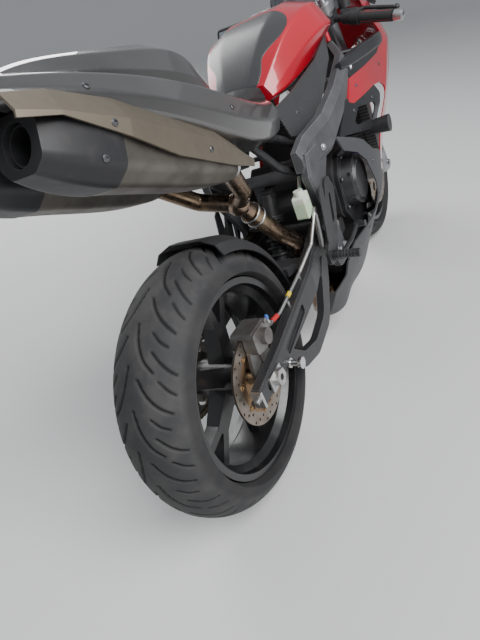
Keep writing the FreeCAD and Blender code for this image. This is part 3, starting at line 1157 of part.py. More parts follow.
def handlebars():
    """Clip-on bars with their clamps, bar-end weights, levers and master cylinders."""
    out = []
    y = -FORK_Y
    clamp = rod(fork_point(BAR_L - 14, y), fork_point(BAR_L + 14, y), FORK_UP_R + 9)
    root = fork_point(BAR_L, y, -6)
    tip = root + BAR_DIR * 232
    bar = rod(root + BAR_DIR * 20, tip, 11)
    weight = rod(tip, tip + BAR_DIR * 30, 12.5)
    perch = rod(root + BAR_DIR * 62, root + BAR_DIR * 84, 18)
    front = STEER_FRONT
    master = rod(root + BAR_DIR * 50 + front * 30, root + BAR_DIR * 108 + front * 34, 12)
    arm = rod(root + BAR_DIR * 73, root + BAR_DIR * 73 + front * 32, 9)
    lever = pipe([root + BAR_DIR * 96 + front * 34, root + BAR_DIR * 130 + front * 52, root + BAR_DIR * 238 + front * 44], 6, 20)
    ball = Part.makeSphere(9, root + BAR_DIR * 238 + front * 44)
    pot = rod(root + BAR_DIR * 60 + front * 52 + V(0, 0, 4), root + BAR_DIR * 60 + front * 52 + V(0, 0, 44), 19)
    pot_arm = rod(root + BAR_DIR * 62 + front * 30, root + BAR_DIR * 60 + front * 52 + V(0, 0, 12), 6)
    hole = rod(fork_point(BAR_L - 20, y), fork_point(BAR_L + 20, y), FORK_UP_R + SEAT_GAP * 0.1)
    one = fuse([clamp, bar, weight, perch, master, arm, lever, ball, pot, pot_arm]).cut(hole)
    return Part.makeCompound([one, mirrored(one)])


def grips():
    """Rubber grips and the switch housings inboard of them."""
    root = fork_point(BAR_L, -FORK_Y, -6)
    tip = root + BAR_DIR * 230
    grip = rod(root + BAR_DIR * 116, tip, 17)
    flange = rod(root + BAR_DIR * 112, root + BAR_DIR * 118, 21)
    housing = rod(root + BAR_DIR * 87, root + BAR_DIR * 113, 21)
    core = rod(root, tip + BAR_DIR * 5, 11.0 + SEAT_GAP * 0.1)
    one = fuse([grip, flange, housing]).cut(core)
    return Part.makeCompound([one, mirrored(one)])


def front_fender():
    """Front mudguard: thin arch over the tyre, with ears that bolt to the fork legs."""
    r0, w, t = FRONT_R + 12, FRONT_HALF_W + 7, 3.0
    profile = [(r0, -w + 22), (r0 - 24, -w + 4), (r0 - 60, -w), (r0 - 60, -w - t), (r0 - 24 + 1, -w + 2), (r0 + t, -w + 21),
               (r0 + t, w - 21), (r0 - 24 + 1, w - 2), (r0 - 60, w + t), (r0 - 60, w), (r0 - 24, w - 4), (r0, w - 22)]
    points = [V(WHEELBASE, y, FRONT_R + r) for r, y in profile]
    arch = Part.Face(Part.makePolygon(points + points[:1])).revolve(FRONT_AXLE, Y_AXIS, 118)
    arch.rotate(FRONT_AXLE, Y_AXIS, -78)
    ears = [rod(fork_point(264, s * (FORK_Y - 6)), fork_point(264, s * (w + 1)), 11) for s in (-1, 1)]
    return fuse([arch] + ears)


def front_calipers():
    """Radial four-piston front calipers on the fork lugs."""
    y, half = -FRONT_DISC_Y, FRONT_DISC_T / 2 + 1.6
    at = fork_point(104, 0, -118)
    at.y = 0
    u, w = STEER_UP, STEER_FRONT
    wires = []
    pts = [at - u * 62 + w * 38, at - u * 66 - w * 4, at - u * 34 - w * 30, at + u * 34 - w * 30, at + u * 66 - w * 4, at + u * 62 + w * 38]
    for yy in (y - half - 30, y + half + 26):
        wires.append(rounded_wire([p + V(0, yy, 0) for p in pts], [12] * 6))
    body = Part.Face(wires[0]).extrude(V(0, 2 * half + 56, 0))
    slot = Part.makeCylinder(FRONT_DISC_R + 4, 2 * half, V(WHEELBASE, y - half, FRONT_R), Y_AXIS)
    wheel_room = Part.makeCylinder(BEAD_R + 30, 60, V(WHEELBASE, -FRONT_RIM_HALF - RUN_GAP, FRONT_R), Y_AXIS)
    lugs = [rod(fork_point(a, -FORK_Y, -66), fork_point(a, -FORK_Y, -88), 12) for a in (60, 150)]
    dish = Part.makeCylinder(138, FRONT_DISC_Y - 40, V(WHEELBASE, y - FRONT_DISC_T, FRONT_R), Y_AXIS)
    one = fuse([body.cut(slot).cut(wheel_room).cut(dish)] + lugs)
    return Part.makeCompound([one, mirrored(one)])


# Side stand

STAND_PIVOT = V(520, 152, 236)
STAND_FOOT = V(596, 292, 0)
STAND_AXIS = V(-0.235, 0.9, 0.3).normalize()
STAND_SWING = 96.0


def ground_at(y):
    """Height of the floor in the upright frame at sideways place y, when leaned."""
    crown = 95.0
    low = crown * (math.cos(math.radians(LEAN)) - 1)
    return (low + y * math.sin(math.radians(LEAN))) / math.cos(math.radians(LEAN))


def side_stand():
    """Side stand leg with its eye, spring hook and foot, flat on the floor when leaned."""
    foot = V(STAND_FOOT.x, STAND_FOOT.y, ground_at(STAND_FOOT.y))
    leg = pipe([STAND_PIVOT, STAND_PIVOT + V(20, 60, -80), foot + V(0, 0, 10)], 11, 60)
    eye = rod(STAND_PIVOT - STAND_AXIS * 9, STAND_PIVOT + STAND_AXIS * 9, 18)
    slope = V(0, math.cos(math.radians(LEAN)), math.sin(math.radians(LEAN)))
    up = V(0, -math.sin(math.radians(LEAN)), math.cos(math.radians(LEAN)))
    pts = [foot + X_AXIS * a + slope * b for a, b in ((-34, -14), (-20, -22), (30, -20), (40, 0), (30, 20), (-20, 22), (-34, 14))]
    pad = Part.Face(Part.makePolygon(pts + pts[:1])).extrude(up * 8)
    bore = rod(STAND_PIVOT - STAND_AXIS * 20, STAND_PIVOT + STAND_AXIS * 20, 7)
    below = Part.Face(Part.makePolygon([foot + X_AXIS * a + slope * b for a, b in ((-90, -90), (90, -90), (90, 90), (-90, 90), (-90, -90))])).extrude(up * -60)
    behind = rod(STAND_PIVOT - STAND_AXIS * 40, STAND_PIVOT - STAND_AXIS * 9, 40)
    return fuse([leg, eye, pad]).cut(bore).cut(below).cut(behind)


def stand_bracket():
    """Bracket and pin that carry the side stand below the left frame plate."""
    pin = rod(STAND_PIVOT - STAND_AXIS * 26, STAND_PIVOT + STAND_AXIS * 16, 6.9)
    cheek = rod(STAND_PIVOT - STAND_AXIS * 26, STAND_PIVOT - STAND_AXIS * (9 + SEAT_GAP), 20)
    arm = side_plate([(500, 232, 6), (545, 232, 6), (600, 300, 8), (600, 330, 8), (560, 330, 8)],
                     FRAME_OUT_REAR - 22, FRAME_OUT_REAR - 4, 6)
    room = rod(STAND_PIVOT - STAND_AXIS * (9 + SEAT_GAP), STAND_PIVOT + STAND_AXIS * 30, 24)
    return fuse([pin, fuse([cheek, arm]).cut(room)])


# Assembly


def leaned():
    """Matrix from the upright bike frame to the parked one, before the origin is moved."""
    m = FreeCAD.Matrix()
    m.rotateX(-math.radians(LEAN))
    return m


def build():
    rear_wheel()
    front_wheel()
    hollow = fairing_shell()
    covers = side_covers()
    SHAPES["chain"] = chain()
    SHAPES["frame"] = frame()
    SHAPES["engine"] = engine()
    SHAPES["clutch_cover"] = clutch_cover()
    SHAPES["filler_cap"] = filler_cap()
    SHAPES["generator_cover"] = generator_cover()
    SHAPES["sprocket_guard"] = sprocket_guard()
    SHAPES["swingarm"] = swingarm()
    SHAPES["axle_and_pivot"] = axle_ends()
    SHAPES["stand_spools"] = Part.makeCompound([spool(ARM_INNER_RIGHT), mirrored(spool(ARM_INNER))])
    SHAPES["shock"] = shock()
    SHAPES["hugger"] = hugger()
    SHAPES["rear_caliper"] = rear_caliper()
    SHAPES["brake_hose"] = brake_hose()
    SHAPES["headers"] = headers()
    SHAPES["link_pipes"] = link_pipes()
    silencers()
    SHAPES["heat_shields"] = heat_shields()
    SHAPES["fuel_tank"] = fuel_tank()
    SHAPES["side_covers"] = Part.makeCompound(list(covers))
    SHAPES["rider_seat"] = rider_seat()
    tail, SHAPES["tail_cowl"] = tail_cowl()
    SHAPES["seat_cowl"] = seat_cowl(tail)
    SHAPES["subframe"] = subframe()
    SHAPES["undertray"] = undertray()
    SHAPES["tail_light"] = tail_light()
    SHAPES["plate_bracket"] = plate_bracket()
    SHAPES["nose_fairing"] = nose_fairing(hollow)
    SHAPES["headlights"] = headlights()
    SHAPES["side_fairings"] = side_fairings(hollow)
    SHAPES["belly_fairings"] = belly_fairings(hollow)
    SHAPES["inner_panels"] = inner_panels(hollow)
    SHAPES["windscreen"] = windscreen()
    SHAPES["fairing_stays"] = fairing_stays()
    SHAPES["dash"] = dash()
    SHAPES["mirrors"] = mirrors()
    SHAPES["radiator"] = radiator()
    SHAPES["frame_sliders"] = frame_sliders()
    SHAPES["footrests"] = footrests()
    SHAPES["reservoir"] = reservoir()
    SHAPES["stand_bracket"] = stand_bracket()
    SHAPES["side_stand"] = side_stand()
    SHAPES["fork"] = fork()
    SHAPES["triple_clamps"] = triple_clamps()
    SHAPES["handlebars"] = handlebars()
    SHAPES["grips"] = grips()
    SHAPES["front_fender"] = front_fender()
    SHAPES["front_calipers"] = front_calipers()


# Each of these is cut to the shape of its neighbours on the same body, so that it seats on them
TRIMS = [
    ("engine", ["frame"]),
    ("stand_bracket", ["frame"]),
    ("sprocket_guard", ["engine"]),
    ("shock", ["frame", "swingarm"]),
    ("hugger", ["swingarm"]),
    ("stand_spools", ["swingarm"]),
    ("link_pipes", ["headers", "silencers"]),
    ("fuel_tank", ["frame"]),
    ("side_covers", ["fuel_tank", "frame"]),
    ("subframe", ["frame", "link_pipes", "silencers", "silencer_caps"]),
    ("tail_cowl", ["silencers", "silencer_caps", "heat_shields", "subframe"]),
    ("rider_seat", ["fuel_tank", "tail_cowl", "subframe", "seat_cowl"]),
    ("undertray", ["subframe", "silencers", "silencer_caps", "tail_cowl"]),
    ("plate_bracket", ["undertray", "tail_cowl"]),
    ("frame_sliders", ["engine"]),
    ("dash", ["frame", "nose_fairing"]),
    ("headers", ["engine"]),
    ("radiator", ["headers", "engine", "frame"]),
    ("side_fairings", ["frame"]),
    ("nose_fairing", ["side_fairings"]),
    ("belly_fairings", ["headers", "engine", "side_fairings", "generator_cover", "frame"]),
    ("inner_panels", ["side_fairings", "belly_fairings", "nose_fairing", "frame", "frame_sliders"]),
    ("fairing_stays", ["frame", "engine", "radiator", "side_fairings", "belly_fairings", "inner_panels"]),
    ("windscreen", ["nose_fairing"]),
    ("mirrors", ["nose_fairing", "windscreen"]),
    ("footrests", ["frame"]),
    ("brake_hose", ["rear_caliper", "swingarm", "frame", "footrests"]),
    ("reservoir", ["frame", "subframe"]),
    ("grips", ["handlebars"]),
    ("front_fender", ["fork"]),
]


def trim_to_neighbours():
    """Cut each piece by its neighbours and keep its main part, without the bits cut loose."""
    for name, others in TRIMS:
        pieces = SHAPES[name].Solids
        for tool in [solid for other in others for solid in SHAPES[other].Solids]:
            for k, piece in enumerate(pieces):
                if piece.BoundBox.intersect(tool.BoundBox):
                    pieces[k] = max(piece.cut(tool).Solids, key=lambda solid: solid.Volume)
        SHAPES[name] = pieces[0] if len(pieces) == 1 else Part.makeCompound(pieces)


STEERED = ("fork", "triple_clamps", "handlebars", "grips", "front_fender", "front_calipers",
           "front_tyre", "front_rim", "front_discs")


def main():
    build()
    trim_to_neighbours()
    matrix = leaned()
    placed = {}
    for name, shape in SHAPES.items():
        shape = shape.copy()
        if name in STEERED and STEER_REST:
            shape.rotate(STEER_GROUND, STEER_UP, STEER_REST)
        placed[name] = shape.transformed(matrix, True)
    whole = placed["frame"].optimalBoundingBox(False, False)
    for shape in sorted(placed.values(), key=lambda shape: -shape.BoundBox.DiagonalLength):
        if not whole.isInside(shape.BoundBox):
            whole.add(shape.optimalBoundingBox(False, False))
    shift = V(-whole.Center.x, -whole.Center.y, -whole.ZMin)
    os.makedirs("parts", exist_ok=True)
    for name, shape in placed.items():
        shape.translated(shift).exportStep("parts/%s.step" % name)
    return matrix, shift, placed


MATRIX, SHIFT, PLACED = main()
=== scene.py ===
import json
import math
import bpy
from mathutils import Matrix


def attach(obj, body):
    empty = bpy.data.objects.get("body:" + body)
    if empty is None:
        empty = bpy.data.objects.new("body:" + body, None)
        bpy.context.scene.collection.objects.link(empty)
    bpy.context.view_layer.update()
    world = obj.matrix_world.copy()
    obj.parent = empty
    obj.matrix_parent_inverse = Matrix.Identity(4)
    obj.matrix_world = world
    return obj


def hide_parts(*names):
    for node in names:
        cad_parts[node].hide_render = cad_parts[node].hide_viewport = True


bl_info = {
    "name": "Sport motorcycle dressing",
    "version": (1, 0, 0),
    "blender": (4, 5, 0),
    "location": "3D View > Sidebar > Motorcycle",
    "description": "Dresses the packed sport motorcycle: treads, finishes, fasteners, lamps and stage",
    "category": "Object",
}

import bmesh
import bpy
import numpy as np
from bpy.props import FloatProperty, FloatVectorProperty, IntProperty, PointerProperty
from mathutils import Matrix, Vector
from mathutils.bvhtree import BVHTree

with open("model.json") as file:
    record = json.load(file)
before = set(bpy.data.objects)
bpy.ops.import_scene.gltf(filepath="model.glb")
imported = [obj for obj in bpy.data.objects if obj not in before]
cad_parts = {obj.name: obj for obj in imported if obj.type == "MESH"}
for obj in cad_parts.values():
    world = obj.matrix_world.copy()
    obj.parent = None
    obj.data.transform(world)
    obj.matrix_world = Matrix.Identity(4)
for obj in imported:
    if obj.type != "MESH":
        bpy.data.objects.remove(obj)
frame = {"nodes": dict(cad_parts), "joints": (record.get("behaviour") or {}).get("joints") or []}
NODES = frame["nodes"]
JOINTS = {joint["name"]: joint for joint in frame["joints"]}
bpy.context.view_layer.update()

# The upright bike frame, as in the part's source: metres, x forward from the rear axle, y left, z up
AXLE = Vector(JOINTS["rear_wheel_spin"]["pos_m"])
FRONT_AXLE = Vector(JOINTS["front_wheel_spin"]["pos_m"])
BIKE_Y = Vector(JOINTS["rear_wheel_spin"]["axis"])
BIKE_X = Vector((1, 0, 0))
BIKE_Z = BIKE_X.cross(BIKE_Y)
LEAN = math.atan2(BIKE_Z.y, BIKE_Z.z)
REAR_R = 0.315
FRONT_R = 0.300
WHEELBASE = (FRONT_AXLE - AXLE).x
GROUND = AXLE - BIKE_Z * REAR_R

# Metres
DISC_CARRIER_R = 0.079
RIM_WELL_R = 0.214
FLUID_LEVEL = 0.548
FIN_PITCH = 0.0022
TUBE_PITCH = 0.011
WEAVE_SIZE = 0.0021
HOSE_R = 0.0045
SEAM_WIDTH = 0.0035
SEAM_DEPTH = 0.0032

# Degrees between two faces from which their edge stays sharp, and frames of the seat's cloth run
SHARP_ANGLE = 32.0
SWELL_FRAMES = 20


def bike(x, y, z):
    """Point of the upright bike frame, in metres, in the row frame."""
    return GROUND + BIKE_X * x + BIKE_Y * y + BIKE_Z * z


def bike_matrix(x, y, z):
    """Matrix from a place in the upright bike frame to the row frame."""
    turn = Matrix((BIKE_X, BIKE_Y, BIKE_Z)).transposed().to_4x4()
    return Matrix.Translation(bike(x, y, z)) @ turn


# Shader expressions


class Wire:
    """A shader socket that adds Math nodes when it is used in an expression."""

    def __init__(self, paint, socket):
        self.paint = paint
        self.socket = socket

    def math(self, operation, *others):
        values = [self] + list(others)
        node = self.paint.node("ShaderNodeMath", {"operation": operation}, dict(enumerate(values)))
        return Wire(self.paint, node.outputs[0])

    def flipped(self, operation, other):
        node = self.paint.node("ShaderNodeMath", {"operation": operation}, {0: other, 1: self})
        return Wire(self.paint, node.outputs[0])

    def __add__(self, other):
        return self.math("ADD", other)

    __radd__ = __add__

    def __sub__(self, other):
        return self.math("SUBTRACT", other)

    def __rsub__(self, other):
        return self.flipped("SUBTRACT", other)

    def __mul__(self, other):
        return self.math("MULTIPLY", other)

    __rmul__ = __mul__

    def __truediv__(self, other):
        return self.math("DIVIDE", other)

    def __pow__(self, other):
        return self.math("POWER", other)

    def __gt__(self, other):
        return self.math("GREATER_THAN", other)

    def __lt__(self, other):
        return self.math("LESS_THAN", other)

    def __abs__(self):
        return self.math("ABSOLUTE")

    def fraction(self):
        return self.math("FRACT")

    def at_most(self, other):
        return self.math("MINIMUM", other)

    def ramp(self, low, high):
        """Smooth step from 0 at low to 1 at high."""
        node = self.paint.node(
            "ShaderNodeMapRange", {"interpolation_type": "SMOOTHSTEP"},
            {"Value": self, "From Min": low, "From Max": high},
        )
        return Wire(self.paint, node.outputs[0])


class Paint:
    """One material and the nodes that make its finish."""

    def __init__(self, name, metallic=0.0, roughness=0.5, **constants):
        self.material = bpy.data.materials.new(name)
        self.material.use_nodes = True
        self.tree = self.material.node_tree
        self.shader = self.tree.nodes["Principled BSDF"]
        self.shader.inputs["Metallic"].default_value = metallic
        self.shader.inputs["Roughness"].default_value = roughness
        for key, value in constants.items():
            self.shader.inputs[key.replace("_", " ")].default_value = value

    def node(self, kind, settings=None, inputs=None):
        """Adds a node: settings first, then values or links for its sockets."""
        node = self.tree.nodes.new(kind)
        for key, value in (settings or {}).items():
            if key == "stops":
                self.set_stops(node.color_ramp, value)
            else:
                setattr(node, key, value)
        for key, value in (inputs or {}).items():
            if isinstance(value, Wire):
                self.tree.links.new(value.socket, node.inputs[key])
            else:
                node.inputs[key].default_value = value
        return node

    def set_stops(self, ramp, stops):
        while len(ramp.elements) < len(stops):
            ramp.elements.new(0.5)
        for element, (place, color) in zip(ramp.elements, stops):
            element.position = place
            element.color = (*color, 1.0)

    def out(self, node, key=0):
        return Wire(self, node.outputs[key])

    def place(self):
        """Coordinates of the upright bike frame, as x, y and z."""
        where = self.node("ShaderNodeTexCoord")
        parts = self.node("ShaderNodeSeparateXYZ", None, {0: self.out(where, "Object")})
        x, y, z = (self.out(parts, k) for k in range(3))
        x = x - GROUND.x
        y, z = y - GROUND.y, z - GROUND.z
        c, s = math.cos(LEAN), math.sin(LEAN)
        return x, y * c - z * s, y * s + z * c

    def vector(self, x, y, z):
        return self.out(self.node("ShaderNodeCombineXYZ", None, {0: x, 1: y, 2: z}))

    def object_place(self):
        return self.out(self.node("ShaderNodeTexCoord"), "Object")

    def noise(self, scale, detail=3.0, rough=0.55, where=None):
        place = where or self.object_place()
        return self.out(self.node("ShaderNodeTexNoise", None,
                                  {"Vector": place, "Scale": scale, "Detail": detail, "Roughness": rough}))

    def cells(self, scale, feature="F1", output="Distance"):
        node = self.node("ShaderNodeTexVoronoi", {"feature": feature},
                         {"Vector": self.object_place(), "Scale": scale})
        return self.out(node, output)

    def blend(self, share, first, second):
        """Colour between two others, each a triple or a colour socket."""
        node = self.node("ShaderNodeMix", {"data_type": "RGBA"}, {0: share})
        for socket, value in ((node.inputs[6], first), (node.inputs[7], second)):
            if isinstance(value, Wire):
                self.tree.links.new(value.socket, socket)
            else:
                socket.default_value = (*value, 1.0)
        return self.out(node, 2)

    def colours(self, share, stops):
        return self.out(self.node("ShaderNodeValToRGB", {"stops": stops}, {0: share}))

    def attribute(self, name):
        return self.out(self.node("ShaderNodeAttribute", {"attribute_name": name}), "Fac")

    def edges(self, radius):
        """How sharply the surface bends within a radius: 0 on flats, towards 1 on edges."""
        soft = self.node("ShaderNodeBevel", {"samples": 4}, {"Radius": radius})
        flat = self.node("ShaderNodeNewGeometry")
        dot = self.node("ShaderNodeVectorMath", {"operation": "DOT_PRODUCT"},
                        {0: self.out(soft), 1: self.out(flat, "Normal")})
        return (1.0 - self.out(dot, "Value")) * 5.0

    def relief(self, height, strength, distance):
        """Bumps of a height expression, into the shader's Normal."""
        node = self.node("ShaderNodeBump", None,
                         {"Strength": strength, "Distance": distance, "Height": height})
        self.tree.links.new(node.outputs[0], self.shader.inputs["Normal"])

    def feed(self, **sockets):
        """Links values to Base Color, Roughness, Metallic and the shader's other varying sockets."""
        for key, value in sockets.items():
            socket = self.shader.inputs[key.replace("_", " ")]
            if isinstance(value, Wire):
                self.tree.links.new(value.socket, socket)
            else:
                socket.default_value = value
        return self.material


# Finishes


def tyre_rubber():
    paint = Paint("tyre_rubber_wear_and_groove_shade", roughness=0.75, Specular_IOR_Level=0.35)
    groove = paint.attribute("groove")
    across = paint.attribute("across")
    dust = paint.noise(18.0, 5.0)
    fine = paint.noise(420.0, 2.0)
    scuffed = paint.noise(90.0, 4.0, 0.7)
    tread = paint.blend(dust.ramp(0.35, 0.7), (0.032, 0.032, 0.034), (0.056, 0.055, 0.054))
    side = paint.blend(dust.ramp(0.3, 0.8), (0.019, 0.019, 0.021), (0.036, 0.035, 0.034))
    wear_and_groove_shade = paint.blend(across.ramp(0.74, 0.9), tread, side)
    # Painted shade and dirt: the tread's grooves are painted near black.
    wear_and_groove_shade = paint.blend(groove * (1.0 - 0.2 * dust), wear_and_groove_shade, (0.006, 0.006, 0.007))
    paint.relief(fine * 0.4 + scuffed, 0.25, 0.0008)
    return paint.feed(Base_Color=wear_and_groove_shade, Roughness=0.62 + 0.25 * dust)


def rim_paint():
    paint = Paint("satin_black_wheel", roughness=0.35, Coat_Weight=0.3, Coat_Roughness=0.2)
    dust = paint.noise(24.0, 6.0, 0.65)
    fine = paint.noise(600.0, 2.0)
    paint.relief(fine, 0.08, 0.0003)
    color = paint.blend(dust.ramp(0.5, 0.85) * 0.7, (0.010, 0.010, 0.011), (0.034, 0.032, 0.029))
    return paint.feed(Base_Color=color, Roughness=0.28 + 0.3 * dust.ramp(0.4, 0.9))


def disc_metal():
    paint = Paint("ground_disc_steel", metallic=1.0, roughness=0.38)
    x, y, z = paint.place()
    rear = x < 0.7
    px = x - WHEELBASE * (1.0 - rear)
    pz = z - (REAR_R * rear + FRONT_R * (1.0 - rear))
    radius = (px * px + pz * pz) ** 0.5
    rings = paint.noise(1.0, 3.0, 0.6, paint.vector(radius * 1400.0, y * 20.0, 0.0))
    stain = paint.noise(30.0, 4.0)
    color = paint.blend(stain.ramp(0.35, 0.75), (0.31, 0.27, 0.235), (0.21, 0.165, 0.13))
    carrier = (radius < DISC_CARRIER_R) * rear
    color = paint.blend(carrier, color, (0.28, 0.18, 0.10))
    paint.relief(rings, 0.15, 0.0004)
    return paint.feed(Base_Color=color, Roughness=0.26 + 0.25 * rings + 0.1 * stain)


def drive_steel(name, base, grime, oily):
    paint = Paint(name, metallic=0.9, roughness=0.4)
    dirt = paint.noise(70.0, 5.0, 0.7)
    paint.relief(paint.noise(500.0, 2.0), 0.1, 0.0003)
    color = paint.blend(dirt.ramp(0.4, 0.75), base, grime)
    return paint.feed(Base_Color=color, Roughness=oily + 0.3 * dirt,
                      Metallic=1.0 - 0.6 * dirt.ramp(0.5, 0.8))


def frame_coating():
    """Dark grey textured coating, with a painted highlight of pale metal where it bends."""
    paint = Paint("textured_frame_coating", roughness=0.6)
    grain = paint.cells(420.0)
    cloud = paint.noise(12.0, 5.0)
    edge = paint.edges(0.005)
    # Painted highlight: pale metal is painted along the edges that the Bevel node finds.
    painted_edge_highlight = (edge - 0.55 * paint.noise(60.0, 4.0)).ramp(0.15, 0.6)
    base = paint.blend(cloud.ramp(0.3, 0.7), (0.045, 0.046, 0.050), (0.075, 0.076, 0.080))
    color = paint.blend(painted_edge_highlight, base, (0.42, 0.42, 0.43))
    paint.relief(grain + 0.5 * paint.noise(150.0, 3.0), 0.35, 0.0007)
    return paint.feed(Base_Color=color, Roughness=0.62 - 0.25 * painted_edge_highlight, Metallic=0.85 * painted_edge_highlight)


def black_metal(name, gloss, edge_highlight=0.0, tint=(0.016, 0.016, 0.018)):
    paint = Paint(name, roughness=gloss, Coat_Weight=0.15, Coat_Roughness=0.25)
    dust = paint.noise(35.0, 5.0, 0.6)
    paint.relief(paint.noise(260.0, 3.0), 0.12, 0.0005)
    color = paint.blend(dust.ramp(0.5, 0.9), tint, (0.036, 0.034, 0.032))
    if edge_highlight:
        # Painted highlight: pale metal is painted along the edges that the Bevel node finds.
        painted_edge_highlight = (paint.edges(0.003) - 0.7 * paint.noise(80.0, 4.0)).ramp(0.2, 0.7) * edge_highlight
        color = paint.blend(painted_edge_highlight, color, (0.35, 0.35, 0.35))
        return paint.feed(Base_Color=color, Roughness=gloss + 0.25 * dust, Metallic=0.8 * painted_edge_highlight)
    return paint.feed(Base_Color=color, Roughness=gloss + 0.25 * dust)


def bare_metal(name, color, rough, brushed=0.0, stain=None):
    paint = Paint(name, metallic=1.0, roughness=rough)
    x, y, z = paint.place()
    streaks = paint.noise(1.0, 4.0, 0.6, paint.vector(x * 20.0, y * 900.0, z * 900.0))
    cloud = paint.noise(20.0, 4.0)
    shade = paint.blend(cloud.ramp(0.3, 0.75), color, stain or tuple(0.72 * c for c in color))
    paint.relief(streaks * brushed + paint.noise(300.0, 2.0) * 0.3, 0.12, 0.0004)
    return paint.feed(Base_Color=shade, Roughness=rough + 0.18 * cloud + brushed * 0.12 * streaks)


def exhaust_heat():
    """Steel pipes, bronzed and browned by heat in bands along the run."""
    paint = Paint("heat_tinted_steel", metallic=1.0, roughness=0.34)
    x, y, z = paint.place()
    band = paint.noise(9.0, 3.0, 0.5, paint.vector(x + z, y, z))
    stops = [(0.25, (0.15, 0.10, 0.07)), (0.42, (0.33, 0.24, 0.16)), (0.56, (0.25, 0.18, 0.14)),
             (0.72, (0.42, 0.34, 0.26)), (0.9, (0.18, 0.15, 0.13))]
    color = paint.colours(band, stops)
    soot = paint.noise(45.0, 6.0, 0.7)
    color = paint.blend(soot.ramp(0.52, 0.8), color, (0.06, 0.045, 0.035))
    paint.relief(soot, 0.15, 0.0006)
    return paint.feed(Base_Color=color, Roughness=0.24 + 0.4 * soot.ramp(0.4, 0.8),
                      Metallic=1.0 - 0.5 * soot.ramp(0.6, 0.85))


def body_paint(name, deep, bright, flake, mottled=0.0):
    """Clear-coated paint with fine metallic flake and faint dust."""
    paint = Paint(name, roughness=0.32, Coat_Weight=1.0, Coat_Roughness=0.045)
    spark = paint.cells(1500.0, output="Color")
    glint = paint.out(paint.node("ShaderNodeSeparateColor", None, {0: spark}), 0)
    cloud = paint.noise(3.5, 2.0)
    color = paint.blend(cloud.ramp(0.3, 0.7) * 0.6 + 0.4 * glint, deep, bright)
    dust = paint.noise(55.0, 6.0, 0.7)
    color = paint.blend(dust.ramp(0.62, 0.85) * 0.10, color, (0.35, 0.33, 0.31))
    orange_peel = paint.noise(140.0, 1.0)
    paint.relief(orange_peel + mottled * paint.noise(30.0, 2.0), 0.03, 0.0004)
    return paint.feed(Base_Color=color, Roughness=0.30 + 0.1 * glint, Metallic=flake)


def weave(paint, size):
    """Twill pattern from 0 to 1 on whichever faces look sideways or up."""
    x, y, z = paint.place()
    u = x / size
    v = (y + z) / size
    step = ((u + (v - v.fraction())) / 4.0).fraction()
    across = abs(u.fraction() - 0.5) * 2.0
    over = step.ramp(0.42, 0.46) * (1.0 - step.ramp(0.92, 0.96))
    return over, across


def carbon(name, gloss):
    paint = Paint(name, roughness=gloss, Coat_Weight=0.35, Coat_Roughness=0.2)
    over, across = weave(paint, WEAVE_SIZE)
    dust = paint.noise(40.0, 5.0)
    color = paint.blend(over, (0.022, 0.022, 0.024), (0.052, 0.052, 0.055))
    color = paint.blend(dust.ramp(0.55, 0.85) * 0.25, color, (0.09, 0.087, 0.083))
    paint.relief(over * 0.6 + across * 0.4, 0.25, 0.0004)
    return paint.feed(Base_Color=color, Roughness=gloss + 0.15 * over)


def seat_leather():
    paint = Paint("grained_seat_cover", roughness=0.55, Specular_IOR_Level=0.4)
    grain = paint.cells(650.0, feature="DISTANCE_TO_EDGE")
    crease = paint.noise(70.0, 4.0, 0.6)
    seam = paint.attribute("seam")
    color = paint.blend(crease.ramp(0.3, 0.8), (0.014, 0.014, 0.015), (0.032, 0.031, 0.031))
    color = paint.blend(seam, color, (0.006, 0.006, 0.006))
    paint.relief(grain.at_most(0.08) * 8.0 + crease * 0.6, 0.3, 0.0006)
    return paint.feed(Base_Color=color, Roughness=0.48 + 0.2 * crease)


def moulded(name, color, rough, coat=0.0, grain=0.25):
    paint = Paint(name, roughness=rough, Coat_Weight=coat, Coat_Roughness=0.15)
    dust = paint.noise(30.0, 6.0, 0.65)
    pale = tuple(min(1.0, 1.7 * c + 0.012) for c in color)
    shade = paint.blend(dust.ramp(0.5, 0.9) * 0.5, color, pale)
    paint.relief(paint.noise(520.0, 2.0) + paint.noise(90.0, 2.0) * 0.4, grain, 0.0004)
    return paint.feed(Base_Color=shade, Roughness=rough + 0.2 * dust)


def clear_lens(name, color, rough=0.03):
    paint = Paint(name, roughness=rough, Transmission_Weight=1.0, IOR=1.45)
    haze = paint.noise(40.0, 4.0)
    shade = paint.blend(haze.ramp(0.4, 0.9), color, tuple(0.9 * c for c in color))
    return paint.feed(Base_Color=shade, Roughness=rough + 0.06 * haze)


def bottle():
    """Cloudy reservoir plastic with the fluid's level showing."""
    paint = Paint("cloudy_reservoir", roughness=0.3, Subsurface_Weight=0.35, Subsurface_Scale=0.02)
    height = paint.place()[2]
    low = (FLUID_LEVEL - height).ramp(0.0, 0.004)
    cloud = paint.noise(40.0, 3.0)
    color = paint.blend(low, (0.66, 0.72, 0.62), (0.50, 0.64, 0.46))
    color = paint.blend(cloud.ramp(0.4, 0.8) * 0.4, color, (0.42, 0.46, 0.38))
    return paint.feed(Base_Color=color, Roughness=0.25 + 0.2 * cloud)


def radiator_core():
    paint = Paint("radiator_core", metallic=0.7, roughness=0.5)
    y, z = paint.place()[1:]
    fins = (y / FIN_PITCH).fraction()
    tubes = (z / TUBE_PITCH).fraction()
    dark = (tubes < 0.25) * 1.0
    # Painted shade: the gaps between the fins are painted near black, and the fin edges grey.
    color = paint.blend(fins.ramp(0.3, 0.6), (0.012, 0.012, 0.012), (0.11, 0.11, 0.11))
    color = paint.blend(dark, color, (0.16, 0.155, 0.15))
    paint.relief(fins + tubes, 0.5, 0.0012)
    return paint.feed(Base_Color=color, Roughness=0.45 + 0.2 * fins)


# Mesh building


